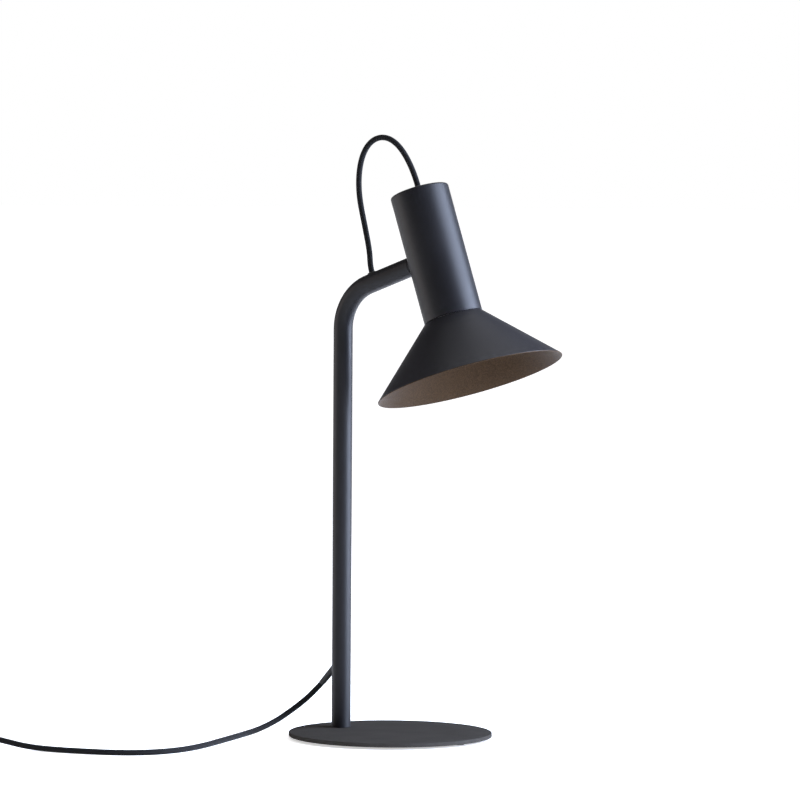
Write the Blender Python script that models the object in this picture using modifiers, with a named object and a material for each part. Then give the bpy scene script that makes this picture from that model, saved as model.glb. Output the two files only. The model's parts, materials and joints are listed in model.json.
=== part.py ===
"""Desk lamp: a round base, one bent tube, and a spot head with a cone shade that turns on the arm's end.

Metres, +Z up. The origin is on the table, below the middle of the lamp's box without its cord.
The arm rises towards +X, and the lamp is symmetric about the plane Y = 0.
"""
import math

import bmesh
import bpy
import numpy as np
from mathutils import Matrix, Vector

MM = 0.001
GAP = 0.3 * MM  # left between pieces that touch on the real lamp

# Base
BASE_RADIUS = 100 * MM
BASE_THICK = 4 * MM
FOOT_RADIUS = 7 * MM
FOOT_HEIGHT = 2.1 * MM
FOOT_CIRCLE = 83 * MM
BASE_BOTTOM = FOOT_HEIGHT + GAP
BASE_TOP = BASE_BOTTOM + BASE_THICK
STEM_BACK = 62 * MM  # the stem stands this far behind the middle of the base
PIN_PLACE = 5.6 * MM  # the locating pin stands this far in front of the stem's axis

# Stem: a straight column, one bend, and the arm
TUBE_RADIUS = 9.5 * MM
TUBE_WALL = 1.5 * MM
TUBE_BORE = TUBE_RADIUS - TUBE_WALL
COLUMN_TOP = 401 * MM
BEND_RADIUS = 47.5 * MM
ARM_RISE = math.radians(19.4)
ARM_LENGTH = 89 * MM  # from the end of the bend to the head's axis

# Head, measured from the pivot: up is along the head's own axis
HEAD_RADIUS = 29 * MM
HEAD_WALL = 1.5 * MM
HEAD_UP = 66.5 * MM
HEAD_DOWN = 63 * MM
HEAD_EDGE = 1.8 * MM
SHADE_RADIUS = 92.5 * MM
SHADE_LENGTH = 63.5 * MM
SHADE_SHEET = 1.0 * MM
JOINT_PLANE = 31 * MM  # the saddle's flat face, measured from the head's axis along the arm
POLE_PLACE = 4.8 * MM  # the terminal block's two poles stand this far from its middle

# Cord
CORD_RADIUS = 2.8 * MM
CORD_BORE = CORD_RADIUS + 0.35 * MM
CORD_STEP = 14 * MM  # distance between the tube's rings
CORD_FALL = math.radians(47)  # the lead leaves the stem's back this far below the horizontal
CORD_HOLE_HEIGHT = 64.3 * MM
LOOP_HOLE = -81.4 * MM  # where the loop enters the arm, along the arm from the pivot

# In-line switch, coil and plug, measured from the stem's axis on the table
SWITCH_PLACE = (-241 * MM, -307 * MM)
SWITCH_LENGTH = 62 * MM
SWITCH_WIDTH = 25 * MM
SWITCH_SPLIT = 9 * MM
SWITCH_HEIGHT = 19 * MM
SWITCH_CORD_HEIGHT = 8.5 * MM
SWITCH_RELIEF = 20 * MM
ROCKER_RADIUS = 9 * MM
ROCKER_WIDTH = 11.4 * MM
ROCKER_TILT = math.radians(7)
ROCKER_HEIGHT = 15 * MM
COIL_PLACE = (-289.4 * MM, -363 * MM)
COIL_INNER = 23.4 * MM
COIL_OUTER = 43 * MM
COIL_BOTTOM = 1 * MM
COIL_TOP = 12.2 * MM
PLUG_PLACE = (-188 * MM, -403 * MM)  # the middle of the plug's pin face
PLUG_LENGTH = 36 * MM
PLUG_WIDTH = 35 * MM
PLUG_THICK = 13.7 * MM
PLUG_RELIEF = 26 * MM
PIN_RADIUS = 2 * MM
PIN_LENGTH = 19 * MM
PIN_SPACING = 18.6 * MM

# The lead's route from the hole in the stem to the switch, in millimetres from the stem's axis
LEAD_ROUTE = [
    (-9.5, 0, 64.3), (-17, 0, 56.4), (-24.5, 0, 48.7), (-32, -0.5, 41.4), (-41, -1.8, 33.2),
    (-49, -4.5, 26.1), (-56.5, -10, 19), (-61.8, -20, 12.2), (-63.2, -34, 7.6), (-61, -54, 4.4),
    (-55, -80, 3), (-46.5, -107, 2.8), (-37.5, -136, 2.8), (-28, -166, 2.8), (-20.5, -196, 2.8),
    (-17.6, -223, 2.8), (-20.5, -245, 2.8), (-28.5, -262.5, 2.8), (-41.5, -276.5, 2.8),
    (-59, -286.8, 2.8), (-79, -294.2, 2.8), (-101, -300, 2.8), (-124, -304.2, 3),
    (-147, -306.4, 4.2), (-169, -307, 6.6), (-190, -307, 8.5),
]
# From the switch to the coil, and from the coil to the plug
LINK_ROUTE = [
    (-292, -307, 8.5), (-302, -308, 8.2), (-312.5, -311.8, 7.2), (-321.4, -319, 5.8), (-327.2, -329, 4.5),
    (-329.4, -340.8, 3.9),
]
TAIL_ROUTE = [(-267.6, -403.2, 8.4), (-259, -403.1, 7.4), (-250.3, -403, 6.85)]
# The loop, in millimetres from the pivot: along the arm, and up the head's axis
LOOP_ROUTE = [
    (0, 68), (0, 76), (-0.9, 87), (-3, 98.5), (-6.4, 109.5), (-12, 120), (-21, 128.6), (-33, 132.2),
    (-45, 129.5), (-55.5, 121.3), (-63.2, 110), (-69, 96), (-72.6, 80), (-74.4, 62), (-76, 44),
    (-78.4, 27), (-80.9, 16), (-81.4, 9.4),
]
# Inside the stem, along X and Z from the stem's axis: up from the lower hole, and on through the
# bend to the arm. The cord runs straight between the two.
INNER_LOW = [(-5.9, 68.1), (-2.6, 72.4), (-0.7, 78), (0, 86), (0, 96)]
INNER_HIGH = [
    (0, 372), (1, 390), (3.6, 405), (7.3, 416), (14.6, 428.6), (22.8, 436.2), (29.3, 440), (34.2, 441.9),
    (36.9, 444.7), (38, 448.6), (37.3, 452.6), (35.9, 456.9),
]

STEM_STEPS = 20
BEND_STEPS = 12
SMALL_STEPS = 16
ROUND_STEPS = 48
BASE_STEPS = 64
WELD = 0.02 * MM
SMOOTH_ANGLE = math.radians(32)


def bend_end():
    """The bend's far end in X and Z from the stem's axis."""
    x = BEND_RADIUS * (1 - math.sin(ARM_RISE))
    z = COLUMN_TOP + BEND_RADIUS * math.cos(ARM_RISE)
    return x, z


def pivot_from_stem():
    x, z = bend_end()
    return x + ARM_LENGTH * math.cos(ARM_RISE), z + ARM_LENGTH * math.sin(ARM_RISE)


def shade_reach():
    """How far the shade's rim stands out past the stem's axis."""
    across = SHADE_RADIUS * math.cos(ARM_RISE)
    down = (HEAD_DOWN + SHADE_LENGTH) * math.sin(ARM_RISE)
    return pivot_from_stem()[0] + across + down


STEM_X = -(shade_reach() - (BASE_RADIUS - STEM_BACK)) / 2
BASE_X = STEM_X + STEM_BACK
PIVOT = Vector((STEM_X + pivot_from_stem()[0], 0, pivot_from_stem()[1]))


# ---------------------------------------------------------------- helpers


def clear_scene():
    for old in list(bpy.data.objects):
        bpy.data.objects.remove(old, do_unlink=True)


def new_collection(name):
    made = bpy.data.collections.new(name)
    bpy.context.scene.collection.children.link(made)
    return made


def finish(name, color, roughness, metallic=0.0):
    material = bpy.data.materials.new(name)
    material.use_nodes = True
    shader = material.node_tree.nodes["Principled BSDF"]
    shader.inputs["Base Color"].default_value = (*color, 1)
    shader.inputs["Roughness"].default_value = roughness
    shader.inputs["Metallic"].default_value = metallic
    return material


clear_scene()
PARTS = new_collection("desk_lamp")
CUTTERS = new_collection("cutters")

PAINT = finish("anthracite_paint", (0.062, 0.064, 0.078), 0.5)
SHADE_PAINT = finish("shade_paint", (0.06, 0.062, 0.074), 0.5)
STEEL = finish("zinc_plated_steel", (0.55, 0.55, 0.56), 0.35, 1.0)
ALUMINIUM = finish("aluminium", (0.62, 0.62, 0.64), 0.35, 1.0)
BRASS = finish("brass", (0.7, 0.5, 0.2), 0.3, 1.0)
BLACK = finish("black_plastic", (0.012, 0.012, 0.013), 0.45)
RUBBER = finish("black_rubber", (0.01, 0.01, 0.01), 0.8)
NYLON = finish("white_nylon", (0.75, 0.75, 0.72), 0.5)
CERAMIC = finish("white_ceramic", (0.8, 0.79, 0.75), 0.35)
TEXTILE = finish("black_textile", (0.012, 0.012, 0.013), 0.9)
SLEEVING = finish("wire_sleeving", (0.75, 0.72, 0.65), 0.6)
LAMP_WHITE = finish("lamp_white", (0.8, 0.8, 0.8), 0.4)
LENS = finish("lamp_lens", (0.85, 0.85, 0.83), 0.15)


def place(made, material, parent=None, matrix=None):
    """Link an object, give it its material and put it in its parent's frame."""
    PARTS.objects.link(made)
    made.data.materials.append(material)
    made.parent = parent
    if matrix is not None:
        made.matrix_local = matrix
    return made


def mesh_object(name, bm, material, parent=None, matrix=None):
    mesh = bpy.data.meshes.new(name)
    bmesh.ops.recalc_face_normals(bm, faces=bm.faces)
    bm.to_mesh(mesh)
    bm.free()
    return place(bpy.data.objects.new(name, mesh), material, parent, matrix)


def turned(name, profile, material, parent=None, matrix=None, steps=ROUND_STEPS, closed=True):
    """A profile of (radius, height) points turned about Z. It runs down the outer side first."""
    mesh = bpy.data.meshes.new(name)
    points = [(radius, 0, height) for radius, height in profile]
    edges = [(i, i + 1) for i in range(len(points) - 1)]
    if closed:
        edges.append((len(points) - 1, 0))
    mesh.from_pydata(points, edges, [])
    made = place(bpy.data.objects.new(name, mesh), material, parent, matrix)
    screw = made.modifiers.new("turn", "SCREW")
    screw.axis = "Z"
    screw.angle = 2 * math.pi
    screw.steps = steps
    screw.render_steps = steps
    screw.use_merge_vertices = True
    screw.merge_threshold = WELD
    return made


def ring(name, inner, outer, low, high, material, parent=None, matrix=None, steps=SMALL_STEPS):
    """A plain washer, or a disc where inner is zero."""
    profile = [(outer, high), (outer, low), (inner, low)]
    closed = inner > 0
    if closed:
        profile.append((inner, high))
    else:
        profile.insert(0, (0, high))
    return turned(name, profile, material, parent, matrix, steps, closed)


def box(name, size, center, material, parent=None, round_edge=0.0):
    bm = bmesh.new()
    bmesh.ops.create_cube(bm, size=1.0)
    bmesh.ops.scale(bm, vec=size, verts=bm.verts)
    bmesh.ops.translate(bm, vec=center, verts=bm.verts)
    made = mesh_object(name, bm, material, parent)
    if round_edge:
        bevel = made.modifiers.new("round", "BEVEL")
        bevel.width = round_edge
        bevel.segments = 2
    return made


def flat_outline(name, outline, thickness, material, parent=None, matrix=None):
    """A flat outline in X and Y, thick along Z about zero, as a mesh that can be cut."""
    curve = bpy.data.curves.new(name, "CURVE")
    curve.dimensions = "2D"
    curve.fill_mode = "BOTH"
    curve.extrude = thickness / 2
    spline = curve.splines.new("POLY")
    spline.points.add(len(outline) - 1)
    for point, (x, y) in zip(spline.points, outline):
        point.co = (x, y, 0, 1)
    spline.use_cyclic_u = True
    return as_mesh(place(bpy.data.objects.new(name, curve), material, parent, matrix))


def as_mesh(curved):
    """Turn a curve object into a mesh object of the same name and place, with its caps welded."""
    bpy.context.view_layer.update()
    name, parent, matrix = curved.name, curved.parent, curved.matrix_local.copy()
    material = curved.data.materials[0]
    evaluated = curved.evaluated_get(bpy.context.evaluated_depsgraph_get())
    mesh = bpy.data.meshes.new_from_object(evaluated)
    bpy.data.objects.remove(curved, do_unlink=True)
    bm = bmesh.new()
    bm.from_mesh(mesh)
    bmesh.ops.remove_doubles(bm, verts=bm.verts, dist=WELD)
    bmesh.ops.recalc_face_normals(bm, faces=bm.faces)
    bm.to_mesh(mesh)
    bm.free()
    mesh.materials.clear()
    return place(bpy.data.objects.new(name, mesh), material, parent, matrix)


def tube(name, points, radius, material, parent=None, resolution=2, caps=True):
    curve = bpy.data.curves.new(name, "CURVE")
    curve.dimensions = "3D"
    curve.bevel_depth = radius
    curve.bevel_resolution = resolution
    curve.use_fill_caps = caps
    spline = curve.splines.new("POLY")
    spline.points.add(len(points) - 1)
    for point, place_of_point in zip(spline.points, points):
        point.co = (*place_of_point, 1)
    return place(bpy.data.objects.new(name, curve), material, parent)


def cut(target, cutter, operation="DIFFERENCE"):
    """Boolean a target with a cutter, which is moved to the cutters' collection and hidden."""
    if cutter.name in PARTS.objects:
        PARTS.objects.unlink(cutter)
        CUTTERS.objects.link(cutter)
    cutter.hide_render = True
    cutter.display_type = "WIRE"
    boolean = target.modifiers.new(operation.lower(), "BOOLEAN")
    boolean.operation = operation
    boolean.solver = "EXACT"
    boolean.object = cutter
    return target


def drill(target, name, radius, start, end, parent=None):
    """Cut a round hole between two points."""
    start, end = Vector(start), Vector(end)
    bm = bmesh.new()
    bmesh.ops.create_cone(
        bm, cap_ends=True, segments=SMALL_STEPS, radius1=radius, radius2=radius, depth=(end - start).length
    )
    turn = (end - start).to_track_quat("Z", "Y").to_matrix().to_4x4()
    bmesh.ops.transform(bm, matrix=Matrix.Translation((start + end) / 2) @ turn, verts=bm.verts)
    return cut(target, mesh_object(f"{name}_cutter", bm, STEEL, parent))


def arc(center_x, center_y, radius, start_deg, end_deg, steps):
    angles = np.radians(np.linspace(start_deg, end_deg, steps + 1))
    return [(center_x + radius * math.cos(a), center_y + radius * math.sin(a)) for a in angles]


def smooth_line(route, step):
    """Points at an even step along the natural cubic spline through a route."""
    knots = np.array(route, float)
    chords = np.linalg.norm(np.diff(knots, axis=0), axis=1)
    at = np.concatenate([[0], np.cumsum(chords)])
    count = len(knots)
    system = np.eye(count)
    right = np.zeros_like(knots)
    for i in range(1, count - 1):
        system[i, i - 1 : i + 2] = chords[i - 1], 2 * (chords[i - 1] + chords[i]), chords[i]
        rise = (knots[i + 1] - knots[i]) / chords[i] - (knots[i] - knots[i - 1]) / chords[i - 1]
        right[i] = 6 * rise
    bend = np.linalg.solve(system, right)

    def point(distance):
        i = min(max(np.searchsorted(at, distance) - 1, 0), count - 2)
        before, after = distance - at[i], at[i + 1] - distance
        whole = chords[i]
        return (
            (bend[i] * after**3 + bend[i + 1] * before**3) / (6 * whole)
            + (knots[i] / whole - bend[i] * whole / 6) * after
            + (knots[i + 1] / whole - bend[i + 1] * whole / 6) * before
        )

    fine = np.array([point(distance) for distance in np.linspace(0, at[-1], 40 * count)])
    lengths = np.concatenate([[0], np.cumsum(np.linalg.norm(np.diff(fine, axis=0), axis=1))])
    evenly = np.linspace(0, lengths[-1], max(2, round(lengths[-1] / step) + 1))
    return np.column_stack([np.interp(evenly, lengths, fine[:, axis]) for axis in range(3)])


def from_stem(route):
    """A route in millimetres from the stem's axis, in metres in the lamp's frame."""
    return [(STEM_X + x * MM, y * MM, z * MM) for x, y, z in route]


def empty(name, location, rotation=(0, 0, 0)):
    made = bpy.data.objects.new(name, None)
    PARTS.objects.link(made)
    made.location = location
    made.rotation_euler = rotation
    made.empty_display_size = 20 * MM
    return made


# The head's frame: its Z runs up the head's axis and its X runs along the arm, away from the stem.
HEAD = empty("head_pivot", PIVOT, (0, -ARM_RISE, 0))
# A turned piece on the arm's axis: its height is then its distance from the head's axis to the stem.
ON_ARM = Matrix.Rotation(-math.pi / 2, 4, "Y")


# ---------------------------------------------------------------- base and stem


def base_plate():
    edge = 0.6 * MM
    profile = (
        [(0, BASE_TOP)]
        + arc(BASE_RADIUS - edge, BASE_TOP - edge, edge, 90, 0, 2)
        + arc(BASE_RADIUS - edge, BASE_BOTTOM + edge, edge, 0, -90, 2)
        + [(0, BASE_BOTTOM)]
    )
    at = Matrix.Translation((BASE_X, 0, 0))
    plate = turned("base_plate", profile, PAINT, matrix=at, steps=BASE_STEPS, closed=False)
    top, low = BASE_TOP + GAP, BASE_BOTTOM - GAP
    sink = [(0, top), (3.3 * MM, top), (3.3 * MM, BASE_BOTTOM + 3 * MM), (6.4 * MM, low), (0, low)]
    on_stem = Matrix.Translation((STEM_X, 0, 0))
    cut(plate, turned("screw_hole_cutter", sink, STEEL, matrix=on_stem, steps=SMALL_STEPS, closed=False))
    pin_x = STEM_X + PIN_PLACE
    drill(plate, "locating_hole", 1.8 * MM, (pin_x, 0, BASE_BOTTOM + 2.1 * MM), (pin_x, 0, top))


def feet():
    for number in range(3):
        angle = number * math.tau / 3
        at = (BASE_X + FOOT_CIRCLE * math.cos(angle), FOOT_CIRCLE * math.sin(angle), 0)
        profile = [(0, FOOT_HEIGHT), (FOOT_RADIUS, FOOT_HEIGHT), (FOOT_RADIUS - 0.6 * MM, 0), (0, 0)]
        turned(f"foot_{number + 1}", profile, RUBBER, matrix=Matrix.Translation(at), steps=24, closed=False)


def stem_line():
    """The stem's centre line, from the base to the arm's end."""
    points = [(STEM_X, 0, BASE_TOP + GAP), (STEM_X, 0, 0.2)]
    for angle in np.linspace(0, math.pi / 2 - ARM_RISE, BEND_STEPS + 1):
        x = STEM_X + BEND_RADIUS * (1 - math.cos(angle))
        points.append((x, 0, COLUMN_TOP + BEND_RADIUS * math.sin(angle)))
    end = JOINT_PLANE + GAP
    points.append((PIVOT.x - end * math.cos(ARM_RISE), 0, PIVOT.z - end * math.sin(ARM_RISE)))
    return points


def stem_tube():
    made = tube("stem_tube", stem_line(), TUBE_RADIUS, PAINT, resolution=STEM_STEPS // 2 - 2, caps=False)
    made = as_mesh(made)
    wall = made.modifiers.new("wall", "SOLIDIFY")
    wall.thickness = TUBE_WALL
    wall.offset = -1
    wall.use_even_offset = True
    fall = Vector((-math.cos(CORD_FALL), 0, -math.sin(CORD_FALL)))
    hole = Vector((STEM_X - TUBE_RADIUS, 0, CORD_HOLE_HEIGHT))
    drill(made, "lead_hole", 3.9 * MM, hole - 6 * MM * fall, hole + 8 * MM * fall)
    drill(made, "loop_hole", 4.0 * MM, (LOOP_HOLE, 0, 4 * MM), (LOOP_HOLE, 0, 14 * MM), HEAD)


def stem_fittings():
    """The pressed-in plugs at the tube's two ends, and the screw and pin that hold the stem on the base."""
    on_stem = Matrix.Translation((STEM_X, 0, 0))
    low = BASE_TOP + GAP
    insert = ring(
        "stem_foot_insert", 3.3 * MM, TUBE_BORE - GAP, low, low + 20 * MM, STEEL, matrix=on_stem, steps=24
    )
    pin_x = STEM_X + PIN_PLACE
    drill(insert, "insert_pin_hole", 1.8 * MM, (pin_x, 0, low - MM), (pin_x, 0, low + 6 * MM))
    ring(
        "locating_pin", 0, 1.5 * MM, BASE_BOTTOM + 2.4 * MM, low + 5.6 * MM, STEEL,
        matrix=Matrix.Translation((pin_x, 0, 0)), steps=12,
    )
    screw_profile = [
        (0, 22 * MM), (3 * MM, 22 * MM), (3 * MM, BASE_BOTTOM + 3 * MM), (6 * MM, BASE_BOTTOM + 0.1 * MM),
        (6 * MM, BASE_BOTTOM), (0, BASE_BOTTOM),
    ]
    screw = turned("base_screw", screw_profile, STEEL, matrix=on_stem, steps=SMALL_STEPS, closed=False)
    hexagon_socket(screw, "base_screw", 2 * MM, (STEM_X, 0, BASE_BOTTOM + 0.9 * MM), None, None)
    ring(
        "arm_end_insert", 3.3 * MM, TUBE_BORE - GAP, JOINT_PLANE + 2 * GAP, JOINT_PLANE + 20 * MM, STEEL,
        HEAD, ON_ARM, steps=24,
    )


def hexagon_socket(screw, name, radius, center, parent, matrix):
    bm = bmesh.new()
    bmesh.ops.create_cone(bm, cap_ends=True, segments=6, radius1=radius, radius2=radius, depth=2 * MM)
    bmesh.ops.translate(bm, vec=center, verts=bm.verts)
    cut(screw, mesh_object(f"{name}_socket_cutter", bm, STEEL, parent, matrix))


def stem_cord_pieces():
    """The lead inside the stem, its anchor, and the bushes in the two holes."""
    low = smooth_line(from_stem([(x, 0, z) for x, z in INNER_LOW]), 6 * MM)
    high = smooth_line(from_stem([(x, 0, z) for x, z in INNER_HIGH]), 5 * MM)
    tube("inner_cord", [*low, *high], CORD_RADIUS, TEXTILE)
    ring(
        "cord_anchor", CORD_BORE, TUBE_BORE - 2 * GAP, 0.1, 0.108, NYLON,
        matrix=Matrix.Translation((STEM_X, 0, 0)), steps=SMALL_STEPS,
    )
    profile = [(0, 4.5 * MM), (3.5 * MM, 4.5 * MM), (3.4 * MM, -2 * MM), (3.0 * MM, -22 * MM), (0, -22 * MM)]
    tilt = Matrix.Rotation(math.pi / 2 - CORD_FALL, 4, "Y")
    at = Matrix.Translation((STEM_X - TUBE_RADIUS, 0, CORD_HOLE_HEIGHT)) @ tilt
    turned("cord_exit_bush", profile, RUBBER, matrix=at, steps=SMALL_STEPS, closed=False)
    top = TUBE_RADIUS + GAP
    grommet = [
        (3.6 * MM, top + 0.7 * MM), (4.6 * MM, top + 0.4 * MM), (4.6 * MM, top), (3.6 * MM, top),
        (3.6 * MM, 6.5 * MM), (CORD_BORE, 6.5 * MM), (CORD_BORE, top + 0.7 * MM),
    ]
    turned("arm_grommet", grommet, RUBBER, HEAD, Matrix.Translation((LOOP_HOLE, 0, 0)), SMALL_STEPS)


# ---------------------------------------------------------------- pivot


def pivot_pieces():
    """What clamps the head to the arm's end and lets it turn, from the stem inwards."""
    pocket = JOINT_PLANE - 0.7 * MM
    bore = 3.4 * MM
    saddle_profile = [
        (TUBE_RADIUS, JOINT_PLANE), (TUBE_RADIUS, 26 * MM), (bore, 26 * MM), (bore, pocket),
        (7.8 * MM, pocket), (7.8 * MM, JOINT_PLANE),
    ]
    saddle = turned("swivel_saddle", saddle_profile, PAINT, HEAD, ON_ARM, 24)
    cut(saddle, round_bar("saddle_seat_cutter", HEAD_RADIUS + GAP))
    ring("friction_washer", bore, 7.5 * MM, pocket + GAP, pocket + 1 * MM, NYLON, HEAD, ON_ARM, 24)
    plate = ring("backing_plate", bore, 9 * MM, 24.4 * MM, 28.5 * MM, STEEL, HEAD, ON_ARM, 24)
    cut(plate, round_bar("backing_curve_cutter", HEAD_RADIUS - HEAD_WALL - GAP), "INTERSECT")
    ring("pivot_washer", bore, 7 * MM, 22.9 * MM, 24.1 * MM, STEEL, HEAD, ON_ARM, 24)
    spring = [(6.2 * MM, 22.6 * MM), (6.2 * MM, 21.8 * MM), (bore, 21.2 * MM), (bore, 22.0 * MM)]
    turned("spring_washer", spring, STEEL, HEAD, ON_ARM, 24)
    bolt_profile = [
        (0, 48 * MM), (3 * MM, 48 * MM), (3 * MM, 20.9 * MM), (5 * MM, 20.9 * MM), (5 * MM, 17.4 * MM),
        (4.6 * MM, 17 * MM), (0, 17 * MM),
    ]
    bolt = turned("pivot_bolt", bolt_profile, STEEL, HEAD, ON_ARM, SMALL_STEPS, closed=False)
    hexagon_socket(bolt, "pivot_bolt", 2.3 * MM, (0, 0, 17.9 * MM), HEAD, ON_ARM)


def round_bar(name, radius):
    """A bar along the head's axis, for seats that fit its round wall."""
    bm = bmesh.new()
    sizes = {"radius1": radius, "radius2": radius, "depth": 40 * MM}
    bmesh.ops.create_cone(bm, cap_ends=True, segments=ROUND_STEPS * 2, **sizes)
    return mesh_object(name, bm, STEEL, HEAD)


# ---------------------------------------------------------------- head


def head_housing():
    inner = HEAD_RADIUS - HEAD_WALL
    ceiling = HEAD_UP - HEAD_WALL
    hole = 5.3 * MM
    profile = (
        [(hole, HEAD_UP)]
        + arc(HEAD_RADIUS - HEAD_EDGE, HEAD_UP - HEAD_EDGE, HEAD_EDGE, 90, 0, 3)
        + [(HEAD_RADIUS, -HEAD_DOWN), (inner, -HEAD_DOWN)]
        + [(inner, ceiling - MM), (inner - MM, ceiling), (hole, ceiling)]
    )
    housing = turned("head_housing", profile, PAINT, HEAD)
    drill(housing, "pivot_hole", 3.6 * MM, (-24 * MM, 0, 0), (-32 * MM, 0, 0), HEAD)


def cord_gland():
    """The hollow nipple in the cap, its nut, and the end of the cord that it holds."""
    nose = HEAD_UP + 5.3 * MM
    flange = HEAD_UP + GAP
    profile = [
        (3.8 * MM, nose), (4.4 * MM, nose - 0.6 * MM), (6 * MM, flange + 1.6 * MM),
        (6.5 * MM, flange + 1.2 * MM), (6.5 * MM, flange), (5 * MM, flange), (5 * MM, 56.5 * MM),
        (CORD_BORE, 56.5 * MM), (CORD_BORE, nose),
    ]
    turned("cap_gland", profile, BLACK, HEAD, steps=24)
    bm = bmesh.new()
    bmesh.ops.create_cone(bm, cap_ends=True, segments=6, radius1=8 * MM, radius2=8 * MM, depth=3 * MM)
    bmesh.ops.translate(bm, vec=(0, 0, 61.7 * MM), verts=bm.verts)
    nut = mesh_object("gland_nut", bm, BRASS, HEAD)
    drill(nut, "nut_bore", 5.3 * MM, (0, 0, 58 * MM), (0, 0, 65 * MM), HEAD)
    tube("cord_end", [(0, 0, 67.6 * MM), (0, 0, 60 * MM), (0, 0, 50 * MM)], CORD_RADIUS, TEXTILE, HEAD)


def holder_bracket():
    """A bent strip that hangs from the gland and carries the lampholder."""
    outer, low, high, sheet = 21.6 * MM, 9.8 * MM, 64.7 * MM, 1.2 * MM
    outline = [(-9 * MM, high), (-9 * MM, high - sheet), (outer - sheet, high - sheet)]
    outline += [(outer - sheet, low + sheet), (-14 * MM, low + sheet), (-14 * MM, low)]
    outline += arc(outer - 2 * MM, low + 2 * MM, 2 * MM, -90, 0, 3)
    outline += arc(outer - 2 * MM, high - 2 * MM, 2 * MM, 0, 90, 3)
    upright = Matrix(((0, 0, 1, 0), (1, 0, 0, 0), (0, 1, 0, 0), (0, 0, 0, 1)))
    bracket = flat_outline("holder_bracket", outline, 16 * MM, STEEL, HEAD, upright)
    drill(bracket, "gland_hole", 5.3 * MM, (0, 0, 60 * MM), (0, 0, 66 * MM), HEAD)
    for number, side in enumerate((-9 * MM, 9 * MM), 1):
        drill(bracket, f"holder_hole_{number}", 1.8 * MM, (0, side, 8 * MM), (0, side, 13 * MM), HEAD)
        head = [
            (0, 13.3 * MM), (2.8 * MM, 13.3 * MM), (2.8 * MM, 11.3 * MM), (1.3 * MM, 11.3 * MM),
            (1.3 * MM, 3 * MM), (0, 3 * MM),
        ]
        at = Matrix.Translation((0, side, 0))
        turned(f"holder_screw_{number}", head, STEEL, HEAD, at, 12, closed=False)
    drill(bracket, "block_hole", 1.8 * MM, (0, 18 * MM, 33 * MM), (0, 24 * MM, 33 * MM), HEAD)


def lampholder():
    profile = [
        (0, 9.5 * MM), (13.2 * MM, 9.5 * MM), (14 * MM, 8.7 * MM), (14 * MM, -9.5 * MM), (13 * MM, -11 * MM),
        (0, -11 * MM),
    ]
    holder = turned("lampholder", profile, CERAMIC, HEAD, steps=24, closed=False)
    for number, side in enumerate((-9 * MM, 9 * MM), 1):
        drill(holder, f"holder_thread_{number}", 1.7 * MM, (0, side, 2 * MM), (0, side, 11 * MM), HEAD)
        across = math.copysign(5 * MM, side)
        drill(holder, f"pin_socket_{number}", 3.1 * MM, (across, 0, -12 * MM), (across, 0, -3 * MM), HEAD)
        lead = math.copysign(11 * MM, side)
        drill(holder, f"lead_socket_{number}", 1.3 * MM, (lead, 0, 4 * MM), (lead, 0, 11 * MM), HEAD)


def terminal_block():
    """A nylon block with a brass barrel for each pole. A barrel holds two clamp screws."""
    middle = 14.9 * MM
    block = box("terminal_block", (17 * MM, 10.4 * MM, 14 * MM), (0, middle, 33 * MM), NYLON, HEAD, 0.8 * MM)
    for number, across in enumerate((-POLE_PLACE, POLE_PLACE), 1):
        way_from, way_to = (across, middle, 25 * MM), (across, middle, 41 * MM)
        drill(block, f"barrel_way_{number}", 2.8 * MM, way_from, way_to, HEAD)
        barrel = ring(
            f"terminal_barrel_{number}", 1.4 * MM, 2.5 * MM, 27 * MM, 39 * MM, BRASS, HEAD,
            Matrix.Translation((across, middle, 0)), 12,
        )
        for level, height in enumerate((29.5 * MM, 36.5 * MM)):
            index = 2 * level + number
            way_from, way_to = (across, 8 * MM, height), (across, middle, height)
            drill(block, f"screw_way_{index}", 1.6 * MM, way_from, way_to, HEAD)
            shank = [(across, 10.2 * MM, height), (across, 13 * MM, height)]
            screw = tube(f"clamp_screw_{index}", shank, 1.2 * MM, BRASS, HEAD, 1)
            cut(barrel, as_mesh(screw), "UNION")
    drill(block, "block_screw_way", 1.5 * MM, (0, 8 * MM, 33 * MM), (0, 21 * MM, 33 * MM), HEAD)
    shank = [(0, 9.1 * MM, 33 * MM), (0, 23.4 * MM, 33 * MM)]
    as_mesh(tube("block_screw", shank, 1.2 * MM, STEEL, HEAD, 1))


def head_wires():
    """Two cores from the cord's end to the terminals, and two sleeved leads from there to the lampholder."""
    for number, side in enumerate((-1, 1), 1):
        core = [
            (side * 1.2, 0, 49.6), (side * 1.4, 2.5, 46.5), (side * 2.6, 8, 44.3), (side * 4, 12.9, 43.6),
            (side * 4.8, 14.9, 41), (side * 4.8, 14.9, 37.8),
        ]
        lead = [
            (side * 4.8, 14.9, 28), (side * 4.8, 14.9, 24.6), (side * 6.6, 13, 21), (side * 9.6, 7, 18),
            (side * 11, 1.4, 14.6), (side * 11, 0, 11), (side * 11, 0, 5),
        ]
        for name, route, material in (("cord_core", core, BLACK), ("holder_lead", lead, SLEEVING)):
            points = smooth_line([(x * MM, y * MM, z * MM) for x, y, z in route], 3 * MM)
            tube(f"{name}_{number}", points, 0.9 * MM, material, HEAD, 1)


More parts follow.
